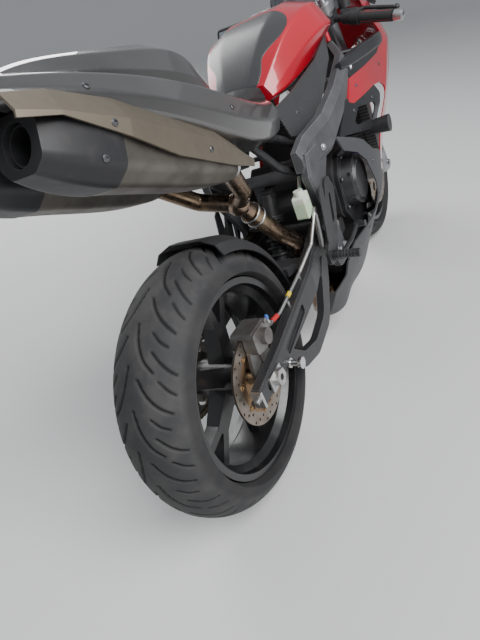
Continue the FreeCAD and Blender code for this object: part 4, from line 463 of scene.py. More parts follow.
def new_piece(name, mesh, rides):
    """Object of a built mesh, in the row frame, riding on a body."""
    piece = bpy.data.objects.new(name, mesh)
    bpy.context.scene.collection.objects.link(piece)
    mesh.polygons.foreach_set("use_smooth", [True] * len(mesh.polygons))
    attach(piece, rides)
    return piece


def mesh_from(points, faces, name):
    mesh = bpy.data.meshes.new(name)
    mesh.from_pydata([tuple(p) for p in points], [], faces)
    mesh.update()
    return mesh


def smooth_by_angle(thing, degrees=SHARP_ANGLE):
    """Smooth shading with sharp edges kept, on a CAD node or a built piece."""
    mesh = thing.data
    mesh.polygons.foreach_set("use_smooth", [True] * len(mesh.polygons))
    work = bmesh.new()
    work.from_mesh(mesh)
    limit = math.radians(degrees)
    for edge in work.edges:
        edge.smooth = len(edge.link_faces) == 2 and edge.calc_face_angle(0.0) < limit
    work.to_mesh(mesh)
    work.free()


def across_axis(direction):
    """Two unit vectors square to a direction and to each other."""
    other = Vector((0, 0, 1)) if abs(direction.z) < 0.9 else Vector((1, 0, 0))
    u = direction.cross(other).normalized()
    return u, direction.cross(u).normalized()


def lathe(work, at, direction, profile, sides=20):
    """Turns (radius, height) points about a line into the bmesh."""
    direction = direction.normalized()
    u, w = across_axis(direction)
    rings = []
    for radius, height in profile:
        centre = at + direction * height
        if radius < 1e-6:
            rings.append([work.verts.new(centre)])
            continue
        ring = []
        for k in range(sides):
            a = 2 * math.pi * k / sides
            ring.append(work.verts.new(centre + (u * math.cos(a) + w * math.sin(a)) * radius))
        rings.append(ring)
    for low, high in zip(rings, rings[1:]):
        for k in range(sides):
            n = (k + 1) % sides
            corners = [low[k % len(low)], low[n % len(low)], high[n % len(high)], high[k % len(high)]]
            kept = [c for i, c in enumerate(corners) if c not in corners[:i]]
            if len(kept) > 2:
                work.faces.new(kept)


def socket_screw(work, at, direction, radius, height):
    """Round-headed screw with a hexagon socket."""
    r, h = radius, height
    profile = [(0.98 * r, -0.001), (r, 0.55 * h), (0.86 * r, 0.9 * h), (0.56 * r, h),
               (0.5 * r, 0.98 * h), (0.46 * r, 0.35 * h), (0, 0.3 * h)]
    lathe(work, at, direction, profile, 18)


def hex_bolt(work, at, direction, radius, height):
    """Flanged bolt with a six-sided head."""
    r, h = radius, height
    lathe(work, at, direction, [(1.25 * r, -0.001), (1.3 * r, 0.2 * h), (0.95 * r, 0.35 * h)], 24)
    lathe(work, at, direction, [(r, 0.3 * h), (r, 0.88 * h), (0.84 * r, h), (0, h)], 6)


def tube_along(work, points, radius, sides=10):
    """Round tube through points, closed at both ends."""
    last = len(points) - 1
    frame_u = None
    rings = []
    for i, p in enumerate(points):
        along = (points[min(i + 1, last)] - points[max(i - 1, 0)]).normalized()
        if frame_u is None:
            frame_u, frame_w = across_axis(along)
        frame_u = (frame_u - along * frame_u.dot(along)).normalized()
        frame_w = along.cross(frame_u)
        ring = []
        for k in range(sides):
            a = 2 * math.pi * k / sides
            out = frame_u * math.cos(a) + frame_w * math.sin(a)
            ring.append(work.verts.new(p + out * radius))
        rings.append(ring)
    for low, high in zip(rings, rings[1:]):
        for k in range(sides):
            n = (k + 1) % sides
            work.faces.new([low[k], low[n], high[n], high[k]])
    work.faces.new(list(reversed(rings[0])))
    work.faces.new(rings[-1])


def spline(points, steps):
    """Smooth run of points through the given ones."""
    points = [Vector(p) for p in points]
    run = []
    for i in range(len(points) - 1):
        p0 = points[max(i - 1, 0)]
        p1, p2 = points[i], points[i + 1]
        p3 = points[min(i + 2, len(points) - 1)]
        for k in range(steps):
            t = k / steps
            run.append(0.5 * ((2 * p1) + (p2 - p0) * t + (2 * p0 - 5 * p1 + 4 * p2 - p3) * t * t
                              + (3 * p1 - p0 - 3 * p2 + p3) * t ** 3))
    run.append(points[-1])
    return run


# Tyres

# One repeat of the tread on one side: sipes as (along, across) points and a width, in millimetres
SIPES = [
    ([(0, 5), (38, 13), (72, 28), (94, 48)], 5.6),
    ([(108, 18), (136, 34), (160, 56), (176, 82)], 5.8),
    ([(56, 44), (78, 64), (92, 82), (98, 94)], 5.2),
    ([(112, 60), (130, 78), (139, 92)], 4.8),
    ([(18, 40), (34, 56), (42, 72)], 4.6),
]

# Slope of a sipe's sides in millimetres, then metres, and repeats of the tread round the tyre
SIPE_FLANK = 2.8
SIPE_DEPTH = 0.0045
TYRE_WALL = 0.0045
BEAD_R = 0.2335
REPEATS = 12


def sipe_distance(along, across, circumference):
    """Distance in millimetres from each tread point to the nearest sipe's edge (negative inside)."""
    repeat = circumference / REPEATS
    best = np.full(along.shape, 1e3)
    for points, width in SIPES:
        path = [(p.x, p.y) for p in spline([(a, b, 0) for a, b in points], 4)]
        for side, offset in ((1, 0.0), (-1, 0.5 * repeat)):
            u = np.mod(offset + 0.5 * repeat - along, repeat)
            for wrap in (-repeat, 0.0, repeat):
                for step, ((a0, b0), (a1, b1)) in enumerate(zip(path, path[1:])):
                    du, dv = a1 - a0, b1 - b0
                    pu, pv = u + wrap - a0, side * across - b0
                    t = np.clip((pu * du + pv * dv) / (du * du + dv * dv), 0.0, 1.0)
                    taper = 1.0 - 0.55 * abs((step + 0.5) / len(path) - 0.45) ** 1.5
                    gap = np.hypot(pu - t * du, pv - t * dv) - 0.5 * width * taper
                    best = np.minimum(best, gap)
    return best


def tyre_mesh(name, radius, half, rim_half, around, across_count):
    """Tyre ring of revolution with sipes pressed into its crown."""
    depth = 0.9 * half
    crown_steps = int(across_count * 0.72)
    profile, spread = [], []
    limit = math.radians(80)
    for k in range(crown_steps + 1):
        a = -limit + 2 * limit * k / crown_steps
        profile.append((half * math.sin(a) / math.sin(limit), radius - depth * (1 - math.cos(a))))
        spread.append(abs(a) / limit)
    seat = rim_half - 0.005
    flank_steps = (across_count - crown_steps) // 2
    low_r, low_y = BEAD_R, seat - 0.0003
    top_y, top_r = profile[-1]
    flank = []
    for k in range(1, flank_steps + 1):
        t = k / flank_steps
        bulge = 0.006 * math.sin(math.pi * t) * (1 - 0.4 * t)
        rib = 0.0007 * sum(math.exp(-((t - c) / 0.035) ** 2) for c in (0.3, 0.62, 0.86))
        y = top_y + (low_y - top_y) * t ** 1.35 + bulge + rib
        r = top_r + (low_r - top_r) * t
        flank.append((y, r, 1.0 + t))
    left = [(-y, r, s) for y, r, s in reversed(flank)]
    rows = left + [(y, r, s) for (y, r), s in zip(profile, spread)] + flank
    ys = np.array([row[0] for row in rows])
    rs = np.array([row[1] for row in rows])
    edge = np.array([row[2] for row in rows])
    ny, nr = np.gradient(rs), -np.gradient(ys)
    size = np.hypot(ny, nr)
    ny, nr = ny / size, nr / size
    flip = np.where(nr * (rs - 0.75 * radius) + ny * ys < 0, -1.0, 1.0)
    ny, nr = ny * flip, nr * flip
    angle = np.linspace(0, 2 * math.pi, around, endpoint=False)
    arc = np.concatenate([[0], np.cumsum(np.hypot(np.diff(ys), np.diff(rs)))])
    centre = np.interp(0.0, ys[flank_steps:-flank_steps], arc[flank_steps:-flank_steps])
    across = (arc - centre) * 1000.0
    grid_u, grid_v = np.meshgrid(angle * radius * 1000.0, across, indexing="ij")
    gap = sipe_distance(grid_u, grid_v, 2 * math.pi * radius * 1000.0)
    cut = np.clip(0.5 - gap / SIPE_FLANK, 0.0, 1.0)
    cut = cut * cut * (3 - 2 * cut) * (edge < 1.02)[None, :]
    y = ys[None, :] - ny[None, :] * cut * SIPE_DEPTH
    r = rs[None, :] - nr[None, :] * cut * SIPE_DEPTH
    outer = np.stack([r * np.sin(angle)[:, None], y, r * np.cos(angle)[:, None]], axis=-1)
    inner_y, inner_r = ys - ny * TYRE_WALL, rs - nr * TYRE_WALL
    keep = np.linspace(0, len(rows) - 1, 12).astype(int)
    inner = np.stack([inner_r[keep][None, :] * np.sin(angle)[:, None],
                      np.repeat(inner_y[keep][None, :], around, axis=0),
                      inner_r[keep][None, :] * np.cos(angle)[:, None]], axis=-1)
    points = np.concatenate([outer.reshape(-1, 3), inner.reshape(-1, 3)])
    cols, thin = len(rows), len(keep)
    base = around * cols
    faces = []
    for i in range(around):
        n = (i + 1) % around
        a, b = i * cols, n * cols
        faces += [(a + k, b + k, b + k + 1, a + k + 1) for k in range(cols - 1)]
        a2, b2 = base + i * thin, base + n * thin
        faces += [(a2 + k, a2 + k + 1, b2 + k + 1, b2 + k) for k in range(thin - 1)]
        faces.append((a, a2, b2, b))
        faces.append((a + cols - 1, b + cols - 1, b2 + thin - 1, a2 + thin - 1))
    mesh = mesh_from(points.tolist(), faces, name)
    groove = mesh.attributes.new("groove", "FLOAT", "POINT")
    groove.data.foreach_set("value", np.concatenate([cut.reshape(-1), np.zeros(around * thin)]))
    spread_attribute = mesh.attributes.new("across", "FLOAT", "POINT")
    edges = np.repeat(np.clip(edge, 0, 1.0)[None, :], around, axis=0).reshape(-1)
    spread_attribute.data.foreach_set("value", np.concatenate([edges, np.ones(around * thin)]))
    return mesh


def build_tyre(name, node, body, centre_x, radius, half, rim_half, around, across_count):
    mesh = tyre_mesh(name, radius, half, rim_half, around, across_count)
    mesh.transform(bike_matrix(centre_x, 0, radius))
    piece = new_piece(name, mesh, body)
    mesh.materials.append(finish("tyre"))
    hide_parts(node)
    return piece


# Finishes by CAD node

MATERIALS = {
    "tyre": tyre_rubber,
    "rim": rim_paint,
    "disc": disc_metal,
    "sprocket": lambda: drive_steel("sprocket_steel", (0.30, 0.29, 0.27), (0.05, 0.042, 0.036), 0.35),
    "chain": lambda: drive_steel("oiled_chain", (0.30, 0.26, 0.18), (0.04, 0.033, 0.026), 0.30),
    "frame": frame_coating,
    "engine": lambda: black_metal("engine_casting", 0.5, 0.25, (0.020, 0.020, 0.021)),
    "covers": lambda: black_metal("satin_engine_cover", 0.30, 0.5, (0.014, 0.014, 0.016)),
    "black_metal": lambda: black_metal("satin_black_metal", 0.38, 0.35),
    "swingarm": lambda: black_metal("swingarm_coating", 0.36, 0.45, (0.020, 0.020, 0.022)),
    "purple": lambda: bare_metal("purple_anodised", (0.20, 0.10, 0.42), 0.28),
    "bright": lambda: bare_metal("plated_steel", (0.60, 0.60, 0.59), 0.26, 0.4),
    "chrome": lambda: bare_metal("bright_chrome", (0.78, 0.79, 0.80), 0.08),
    "cast": lambda: bare_metal("cast_alloy", (0.30, 0.295, 0.29), 0.48, 0.0, (0.17, 0.15, 0.14)),
    "alloy": lambda: bare_metal("machined_alloy", (0.50, 0.50, 0.51), 0.34, 0.6),
    "fork": lambda: bare_metal("fork_tube", (0.42, 0.42, 0.44), 0.22, 0.3),
    "exhaust": exhaust_heat,
    "can": lambda: bare_metal("satin_titanium", (0.20, 0.185, 0.165), 0.42, 0.5, (0.13, 0.12, 0.105)),
    "shield": lambda: bare_metal("champagne_shield", (0.33, 0.285, 0.225), 0.40, 0.3,
                                 (0.26, 0.225, 0.18)),
    "cap": lambda: black_metal("silencer_cap_black", 0.46, 0.1, (0.013, 0.013, 0.015)),
    "red": lambda: body_paint("crimson_gloss", (0.36, 0.002, 0.012), (0.52, 0.006, 0.026), 0.12, 0.6),
    "gunmetal": lambda: body_paint("gunmetal_gloss", (0.050, 0.050, 0.052), (0.105, 0.103, 0.102),
                                   0.55),
    "carbon": lambda: carbon("carbon_weave", 0.36),
    "carbon_cover": lambda: carbon("carbon_tank_cover", 0.30),
    "seat": seat_leather,
    "plastic": lambda: moulded("black_moulding", (0.022, 0.022, 0.024), 0.5),
    "satin_plastic": lambda: moulded("satin_black_panel", (0.014, 0.014, 0.016), 0.3, 0.3, 0.1),
    "grey_plastic": lambda: moulded("dark_grey_panel", (0.050, 0.051, 0.055), 0.42),
    "rubber": lambda: moulded("grip_rubber", (0.017, 0.017, 0.018), 0.68, 0.0, 0.5),
    "screen": lambda: clear_lens("smoked_screen", (0.35, 0.36, 0.38)),
    "lens": lambda: clear_lens("lamp_lens", (0.93, 0.95, 0.97)),
    "red_lens": lambda: clear_lens("red_lamp_lens", (0.85, 0.03, 0.02), 0.06),
    "bottle": bottle,
    "radiator": radiator_core,
    "screw": lambda: bare_metal("dark_screw_steel", (0.20, 0.20, 0.21), 0.34),
    "silver": lambda: bare_metal("turned_alloy", (0.66, 0.67, 0.68), 0.24, 0.5),
    "bronze": lambda: bare_metal("bronze_anodised", (0.42, 0.27, 0.14), 0.32),
    "mirror": lambda: bare_metal("mirror_glass", (0.74, 0.83, 0.90), 0.04),
    "reflector": lambda: bare_metal("lamp_reflector", (0.82, 0.82, 0.80), 0.10),
    "red_sleeve": lambda: moulded("red_sleeve", (0.45, 0.02, 0.02), 0.45),
    "yellow_sleeve": lambda: moulded("yellow_sleeve", (0.62, 0.45, 0.03), 0.45),
    "blue_cap": lambda: moulded("blue_rubber_cap", (0.05, 0.12, 0.42), 0.5),
    "white_mark": lambda: moulded("white_marking", (0.75, 0.75, 0.73), 0.5),
    "display": lambda: moulded("dark_display", (0.010, 0.012, 0.014), 0.12, 0.8, 0.02),
    "thread": lambda: moulded("red_thread", (0.50, 0.03, 0.03), 0.6),
}

NODE_FINISH = {
    "rim": "rear_rim front_rim",
    "disc": "rear_disc front_discs",
    "sprocket": "rear_sprocket",
    "chain": "chain",
    "frame": "frame",
    "engine": "engine",
    "covers": "clutch_cover generator_cover sprocket_guard",
    "black_metal": "shock subframe stand_bracket side_stand frame_sliders footrests fairing_stays "
                   "handlebars",
    "swingarm": "swingarm",
    "purple": "filler_cap",
    "bright": "axle_and_pivot brake_hose",
    "chrome": "stand_spools",
    "cast": "rear_caliper front_calipers",
    "alloy": "triple_clamps",
    "fork": "fork",
    "exhaust": "headers link_pipes",
    "can": "silencers",
    "shield": "heat_shields",
    "cap": "silencer_caps",
    "red": "fuel_tank side_fairings nose_fairing front_fender",
    "gunmetal": "tail_cowl seat_cowl",
    "carbon": "side_covers",
    "seat": "rider_seat",
    "plastic": "hugger undertray plate_bracket dash mirrors",
    "satin_plastic": "inner_panels",
    "grey_plastic": "belly_fairings",
    "rubber": "grips",
    "screen": "windscreen",
    "lens": "headlights",
    "red_lens": "tail_light",
    "bottle": "reservoir",
    "radiator": "radiator",
    "tyre": "rear_tyre front_tyre",
}

made = {}


def finish(name):
    """The material of that name, made the first time it is asked for."""
    if name not in made:
        made[name] = MATERIALS[name]()
    return made[name]


# Places on the CAD nodes

STEER_UP = Vector(JOINTS["steering_turn"]["axis"])
STEER_FRONT = (BIKE_X - STEER_UP * BIKE_X.dot(STEER_UP)).normalized()
FORK_Y = 0.104
BAR_L = 0.664
BAR_DIR = Vector((-0.24, -0.925, -0.25)).normalized()
trees = {}


def mirrored(point, side):
    """Point or direction of the upright bike frame, on the right (-1) or the left (1)."""
    return Vector((point[0], -side * point[1], point[2]))


def fork_point(along, side, ahead=0.0):
    """Point of the row frame beside a fork leg, as far along it from the wheel axle."""
    return FRONT_AXLE + BIKE_Y * (side * FORK_Y) + STEER_UP * along + STEER_FRONT * ahead


def row_direction(step):
    """Direction of the upright bike frame, turned into the row frame."""
    return BIKE_X * step[0] + BIKE_Y * step[1] + BIKE_Z * step[2]


def bar_point(along, side):
    """Point of the row frame along a handlebar from its clamp."""
    return fork_point(BAR_L, side, -0.006) + row_direction(mirrored(BAR_DIR, side)) * along


def tree_of(node):
    if node not in trees:
        mesh = NODES[node].data
        points = [v.co for v in mesh.vertices]
        trees[node] = BVHTree.FromPolygons(points, [p.vertices for p in mesh.polygons])
    return trees[node]


def cast(node, origin, direction):
    """Where a line of the row frame first meets a CAD node, and the surface's direction there."""
    place, normal = tree_of(node).ray_cast(origin, direction)[:2]
    if place is None:
        raise RuntimeError("no surface of %s at %s" % (node, tuple(origin)))
    return place, normal if normal.dot(direction) < 0 else -normal


def on_side(node, x, z, side):
    """Outer side surface of a node at x and z of the upright bike frame."""
    return cast(node, bike(x, side * 0.6, z), BIKE_Y * -side)


def row_piece(name, build, rides, material, degrees=SHARP_ANGLE):
    """Piece from a function that fills a bmesh in the row frame."""
    work = bmesh.new()
    build(work)
    bmesh.ops.recalc_face_normals(work, faces=work.faces)
    mesh = bpy.data.meshes.new(name)
    work.to_mesh(mesh)
    work.free()
    piece = new_piece(name, mesh, rides)
    smooth_by_angle(piece, degrees)
    mesh.materials.append(finish(material))
    return piece


# Screws on the panels: node, then places (x, z) of the upright bike frame, on both sides
PANEL_SCREWS = {
    "heat_shields": [(0.050, 0.812), (-0.158, 0.921)],
    "silencer_caps": [(-0.196, 0.886)],
    "side_fairings": [(0.862, 0.716), (1.120, 0.720), (0.930, 0.455)],
    "side_covers": [(0.560, 0.742)],
    "tail_cowl": [(0.190, 0.850), (-0.140, 0.975)],
    "belly_fairings": [(0.800, 0.500), (0.720, 0.318), (0.900, 0.220)],
    "inner_panels": [(0.780, 0.664), (0.930, 0.658)],
}
FRAME_BOLTS = [(0.880, 0.768), (0.545, 0.340), (0.600, 0.330), (0.560, 0.640), (0.552, 0.404)]
COVER_BOLTS = [(0.656, 0.420), (0.656, 0.508), (0.696, 0.562), (0.792, 0.562), (0.856, 0.500),
               (0.882, 0.424), (0.872, 0.362), (0.800, 0.330), (0.722, 0.340)]

# Tank cover: place along the slope (0.8 x + 0.6 z of the upright frame) and half width
TANK_COVER = [(0.920, 0.050), (0.940, 0.066), (0.966, 0.0742), (1.009, 0.0748), (1.031, 0.0879),
              (1.069, 0.1153), (1.095, 0.1275), (1.112, 0.1306), (1.137, 0.1276), (1.156, 0.119),
              (1.172, 0.1075), (1.183, 0.090), (1.192, 0.060), (1.197, 0.030)]

# Sizes and colours that a user would change


class MotorcycleSettings(bpy.types.PropertyGroup):
    tread_steps: IntProperty(
        name="Tread steps", description="Steps round the rear tyre's tread",
        default=720, min=90, max=1440)
    screw_radius: FloatProperty(
        name="Screw radius", description="Radius of the panel screws' heads",
        default=0.0055, unit="LENGTH")
    key_light: FloatProperty(
        name="Key light", description="Power of the large overhead light",
        default=260.0, unit="POWER")
    cover_rows: IntProperty(
        name="Cover rows", description="Rows of faces in the tank cover", default=40, min=12)
    cover_thick: FloatProperty(
        name="Cover thickness", description="How far the tank cover stands off the tank",
        default=0.0013, unit="LENGTH")
    seat_grid: FloatProperty(
        name="Seat grid", description="Size of the seat cover's mesh before it swells",
        default=0.006, unit="LENGTH")
    seat_pressure: FloatProperty(
        name="Seat pressure", description="How hard the foam pushes the cover out", default=4.0)
    seat_swell: FloatProperty(
        name="Seat swell", description="Furthest that the cover moves out", default=0.009, unit="LENGTH")
    sky: FloatProperty(
        name="Sky", description="Strength of the soft light from all round", default=0.45)
    floor_color: FloatVectorProperty(
        name="Floor", description="Colour of the floor and the backdrop", default=(0.62, 0.62, 0.62),
        subtype="COLOR", size=3, min=0.0, max=1.0)
    camera_place: FloatVectorProperty(
        name="Camera place", description="Where the camera stands, in the row frame",
        default=(-1.3665, -0.6378, 1.0662), subtype="TRANSLATION", size=3)
    camera_turn: FloatVectorProperty(
        name="Camera turn", description="Yaw from straight ahead, tilt down and roll of the camera",
        default=(math.radians(31.04), math.radians(34.88), math.radians(-12.2)),
        subtype="EULER", size=3)
    camera_lens: FloatProperty(
        name="Lens", description="Focal length on a 36 mm sensor", default=26.9, unit="CAMERA")


def settings():
    return bpy.context.scene.motorcycle


def bike_place(point):
    """Place in the upright bike frame of a point of the row frame."""
    from_ground = point - GROUND
    return Vector((from_ground.dot(BIKE_X), from_ground.dot(BIKE_Y), from_ground.dot(BIKE_Z)))


class PieceOperator(bpy.types.Operator):
    """Base of the operators that dress one group of pieces."""

    bl_options = {"REGISTER", "UNDO"}

    def execute(self, context):
        self.build()
        return {"FINISHED"}


class MOTO_OT_cad_finishes(PieceOperator):
    """Gives every CAD node its finish and its smooth shading"""

    bl_idname = "moto.cad_finishes"
    bl_label = "CAD finishes"

    def build(self):
        for name, nodes in NODE_FINISH.items():
            for node in nodes.split():
                smooth_by_angle(NODES[node])
                mesh = NODES[node].data
                mesh.materials.clear()
                mesh.materials.append(finish(name))


class MOTO_OT_rear_tyre(PieceOperator):
    """Rear tyre with its sipes"""

    bl_idname = "moto.rear_tyre"
    bl_label = "Rear tyre"

    def build(self):
        build_tyre("rear_tread", "rear_tyre", "rear_wheel", 0.0, REAR_R, half=0.095, rim_half=0.079,
                   around=settings().tread_steps, across_count=112)


class MOTO_OT_front_tyre(PieceOperator):
    """Front tyre with its sipes"""

    bl_idname = "moto.front_tyre"
    bl_label = "Front tyre"

    def build(self):
        build_tyre("front_tread", "front_tyre", "front_wheel", WHEELBASE, FRONT_R, half=0.060,
                   rim_half=0.048, around=settings().tread_steps // 2 + 90, across_count=80)


class MOTO_OT_tank_pad(PieceOperator):
    """Woven cover over the rear and the top of the tank"""

    bl_idname = "moto.tank_pad"
    bl_label = "Tank cover"

    def build(self):
        piece = new_piece("tank_cover", self.shell(), "chassis")
        piece.data.materials.append(finish("carbon_cover"))

    def half_width(self, u):
        """Half of the cover's width at a place along its slope."""
        for (low, first), (high, last) in zip(TANK_COVER, TANK_COVER[1:]):
            if u <= high:
                return first + (last - first) * (u - low) / (high - low)
        return TANK_COVER[-1][1]

    def shell(self):
        down = (BIKE_X * 0.6 - BIKE_Z * 0.8).normalized()
        rows, columns = settings().cover_rows, 36
        low, high = TANK_COVER[0][0], TANK_COVER[-1][0]
        points, faces = [], []
        for i in range(rows + 1):
            share = 0.5 - 0.5 * math.cos(math.pi * i / rows)
            u = low + (high - low) * share
            width = self.half_width(u)
            for k in range(columns + 1):
                y = width * (2.0 * k / columns - 1.0)
                start = bike(0.8 * u - 0.3, y, 0.6 * u + 0.4)
                place, normal = cast("fuel_tank", start, down)
                rim = i in (0, rows) or k in (0, columns)
                points.append(place + normal * (-0.0008 if rim else settings().cover_thick))
        wide = columns + 1
        for i in range(rows):
            for k in range(columns):
                a = i * wide + k
                faces.append((a, a + 1, a + wide + 1, a + wide))
        return mesh_from(points, faces, "tank_cover")


class MOTO_OT_screws(PieceOperator):
    """Screws of the panels, the frame and the engine cover"""

    bl_idname = "moto.screws"
    bl_label = "Screws"

    def build(self):
        row_piece("panel_screws", self.panel_screws, "chassis", "screw")
        row_piece("frame_bolts", self.frame_bolts, "chassis", "silver")
        row_piece("cover_screws", self.cover_screws, "chassis", "screw")

    def panel_screws(self, work):
        radius = settings().screw_radius
        for node, places in PANEL_SCREWS.items():
            for x, z in places:
                for side in (-1, 1):
                    place, normal = on_side(node, x, z, side)
                    socket_screw(work, place, normal, radius, height=0.5 * radius)

    def frame_bolts(self, work):
        for x, z in FRAME_BOLTS:
            for side in (-1, 1):
                place, normal = on_side("frame", x, z, side)
                hex_bolt(work, place, normal, radius=0.0075, height=0.007)

    def cover_screws(self, work):
        for x, z in COVER_BOLTS:
            place, normal = on_side("clutch_cover", x, z, -1)
            socket_screw(work, place, normal, radius=0.0052, height=0.003)


class MOTO_OT_wheel_details(PieceOperator):
    """Disc buttons and valve stems"""

    bl_idname = "moto.wheel_details"
    bl_label = "Wheel details"

    def build(self):
        row_piece("rear_disc_buttons", self.rear_buttons, "rear_wheel", "bronze")
        row_piece("front_disc_buttons", self.front_buttons, "front_wheel", "bronze")
        row_piece("rear_valve", lambda work: self.valve(work, AXLE), "rear_wheel", "rubber")
        row_piece("front_valve", lambda work: self.valve(work, FRONT_AXLE), "front_wheel", "rubber")

    def ring(self, work, centre, node, radius, count, side, size):
        """Buttons evenly round one face of a disc."""
        profile = [(size, -0.001), (size, 0.0016), (0.7 * size, 0.0024), (0.3 * size, 0.0012),
                   (0, 0.0012)]
        for k in range(count):
            a = 2 * math.pi * (k + 0.5) / count
            out = BIKE_X * math.cos(a) + BIKE_Z * math.sin(a)
            place, normal = cast(node, centre + out * radius + BIKE_Y * (side * 0.3), BIKE_Y * -side)
            lathe(work, place, normal, profile, 16)

    def rear_buttons(self, work):
        self.ring(work, AXLE, "rear_disc", DISC_CARRIER_R, count=8, side=-1, size=0.0062)

    def front_buttons(self, work):
        for side in (-1, 1):
            self.ring(work, FRONT_AXLE, "front_discs", radius=0.118, count=10, side=side, size=0.0066)

    def valve(self, work, centre):
        """Valve stem from the rim's well towards the axle."""
        inward = (BIKE_X * -0.6 + BIKE_Z * -0.8).normalized()
        profile = [(0.0085, -0.001), (0.008, 0.004), (0.0045, 0.010), (0.0042, 0.026),
                   (0.0052, 0.027), (0.0052, 0.037), (0.003, 0.039), (0, 0.039)]
        lathe(work, centre - inward * RIM_WELL_R, inward, profile, 14)


class MOTO_OT_controls(PieceOperator):
    """Grip ribs and stitching, bar ends, front brake lines"""

    bl_idname = "moto.controls"
    bl_label = "Controls"

    def build(self):
        row_piece("grip_ribs", self.ribs, "steering", "rubber")
        row_piece("grip_stitching", self.stitching, "steering", "thread", degrees=60.0)
        row_piece("bar_end_weights", self.bar_ends, "steering", "silver")
        row_piece("front_brake_lines", self.lines, "steering", "rubber", degrees=60.0)

    def bar_along(self, side):
        return (bar_point(1, side) - bar_point(0, side)).normalized()

    def ribs(self, work):
        profile = [(0.0167, 0), (0.0173, 0.0008), (0.0173, 0.0030), (0.0167, 0.0038)]
        for side in (-1, 1):
            along = self.bar_along(side)
            for k in range(17):
                lathe(work, bar_point(0.124 + 0.006 * k, side), along, profile, 28)

    def stitching(self, work):
        for side in (-1, 1):
            along = self.bar_along(side)
            up = (BIKE_Z - along * BIKE_Z.dot(along)).normalized()
            back = along.cross(up) * side
            for k in range(15):
                for turn in (0.5, 2.2):
                    out = (up * math.cos(turn) - back * math.sin(turn)).normalized()
                    low = bar_point(0.128 + 0.0065 * k, side) + out * 0.0171
                    tube_along(work, [low, low + along * 0.0042], radius=0.0007, sides=6)

    def bar_ends(self, work):
        profile = [(0.0126, 0), (0.0158, 0.0015), (0.0158, 0.024), (0.0145, 0.0285),
                   (0.006, 0.0298), (0.0052, 0.026), (0, 0.026)]
        for side in (-1, 1):
            lathe(work, bar_point(0.2335, side), self.bar_along(side), profile, 32)

    def lines(self, work):
        run = ((0.50, 0.050), (0.40, 0.052), (0.30, 0.044), (0.20, 0.026), (0.165, -0.030))
        clip = [(0.004, 0.020), (0.004, 0.054), (0, 0.054)]
        for side in (-1, 1):
            points = [fork_point(along, side, ahead) for along, ahead in run]
            tube_along(work, spline(points, 6), radius=0.0032)
            lathe(work, fork_point(0.42, side, 0.0), STEER_FRONT, clip, 10)


class MOTO_OT_brake_details(PieceOperator):
    """Coloured hose sleeves, the bleed nipple and its cap at the rear brake"""

    bl_idname = "moto.brake_details"
    bl_label = "Brake details"

    def build(self):
        for color, low, high in (("red", 0.112, 0.138), ("yellow", 0.206, 0.222)):
            row_piece("hose_sleeve_" + color, lambda work: self.sleeve(work, low, high), "chassis",
                      color + "_sleeve", degrees=60.0)
        row_piece("bleed_nipple", self.nipple, "chassis", "silver")
        row_piece("nipple_cap", self.cap, "chassis", "blue_cap")

    def sleeve(self, work, low, high):
        """Tube round the hose between two places along the bike, before or after the hose's bend."""
        points = []
        for k in range(5):
            x = low + (high - low) * k / 4
            y = -0.1085 - 0.1196 * (x - 0.104) if x < 0.150 else -0.114 - 0.0533 * (x - 0.150)
            place = cast("brake_hose", bike(x, y, 0.60), -BIKE_Z)[0]
            points.append(place - BIKE_Z * HOSE_R)
        tube_along(work, points, radius=0.0060, sides=16)

    def spot(self):
        """Foot of the bleed nipple, on top of the caliper."""
        return cast("rear_caliper", bike(0.098, -0.1085, 0.60), -BIKE_Z)[0]

    def nipple(self, work):
        profile = [(0.0052, -0.001), (0.0052, 0.005), (0.003, 0.0055), (0.003, 0.012), (0, 0.012)]
        lathe(work, self.spot(), BIKE_Z, profile, 12)

    def cap(self, work):
        profile = [(0.0030, 0), (0.0046, 0.001), (0.0046, 0.008), (0.003, 0.011), (0, 0.0115)]
        lathe(work, self.spot() + BIKE_Z * 0.009, BIKE_Z, profile, 14)


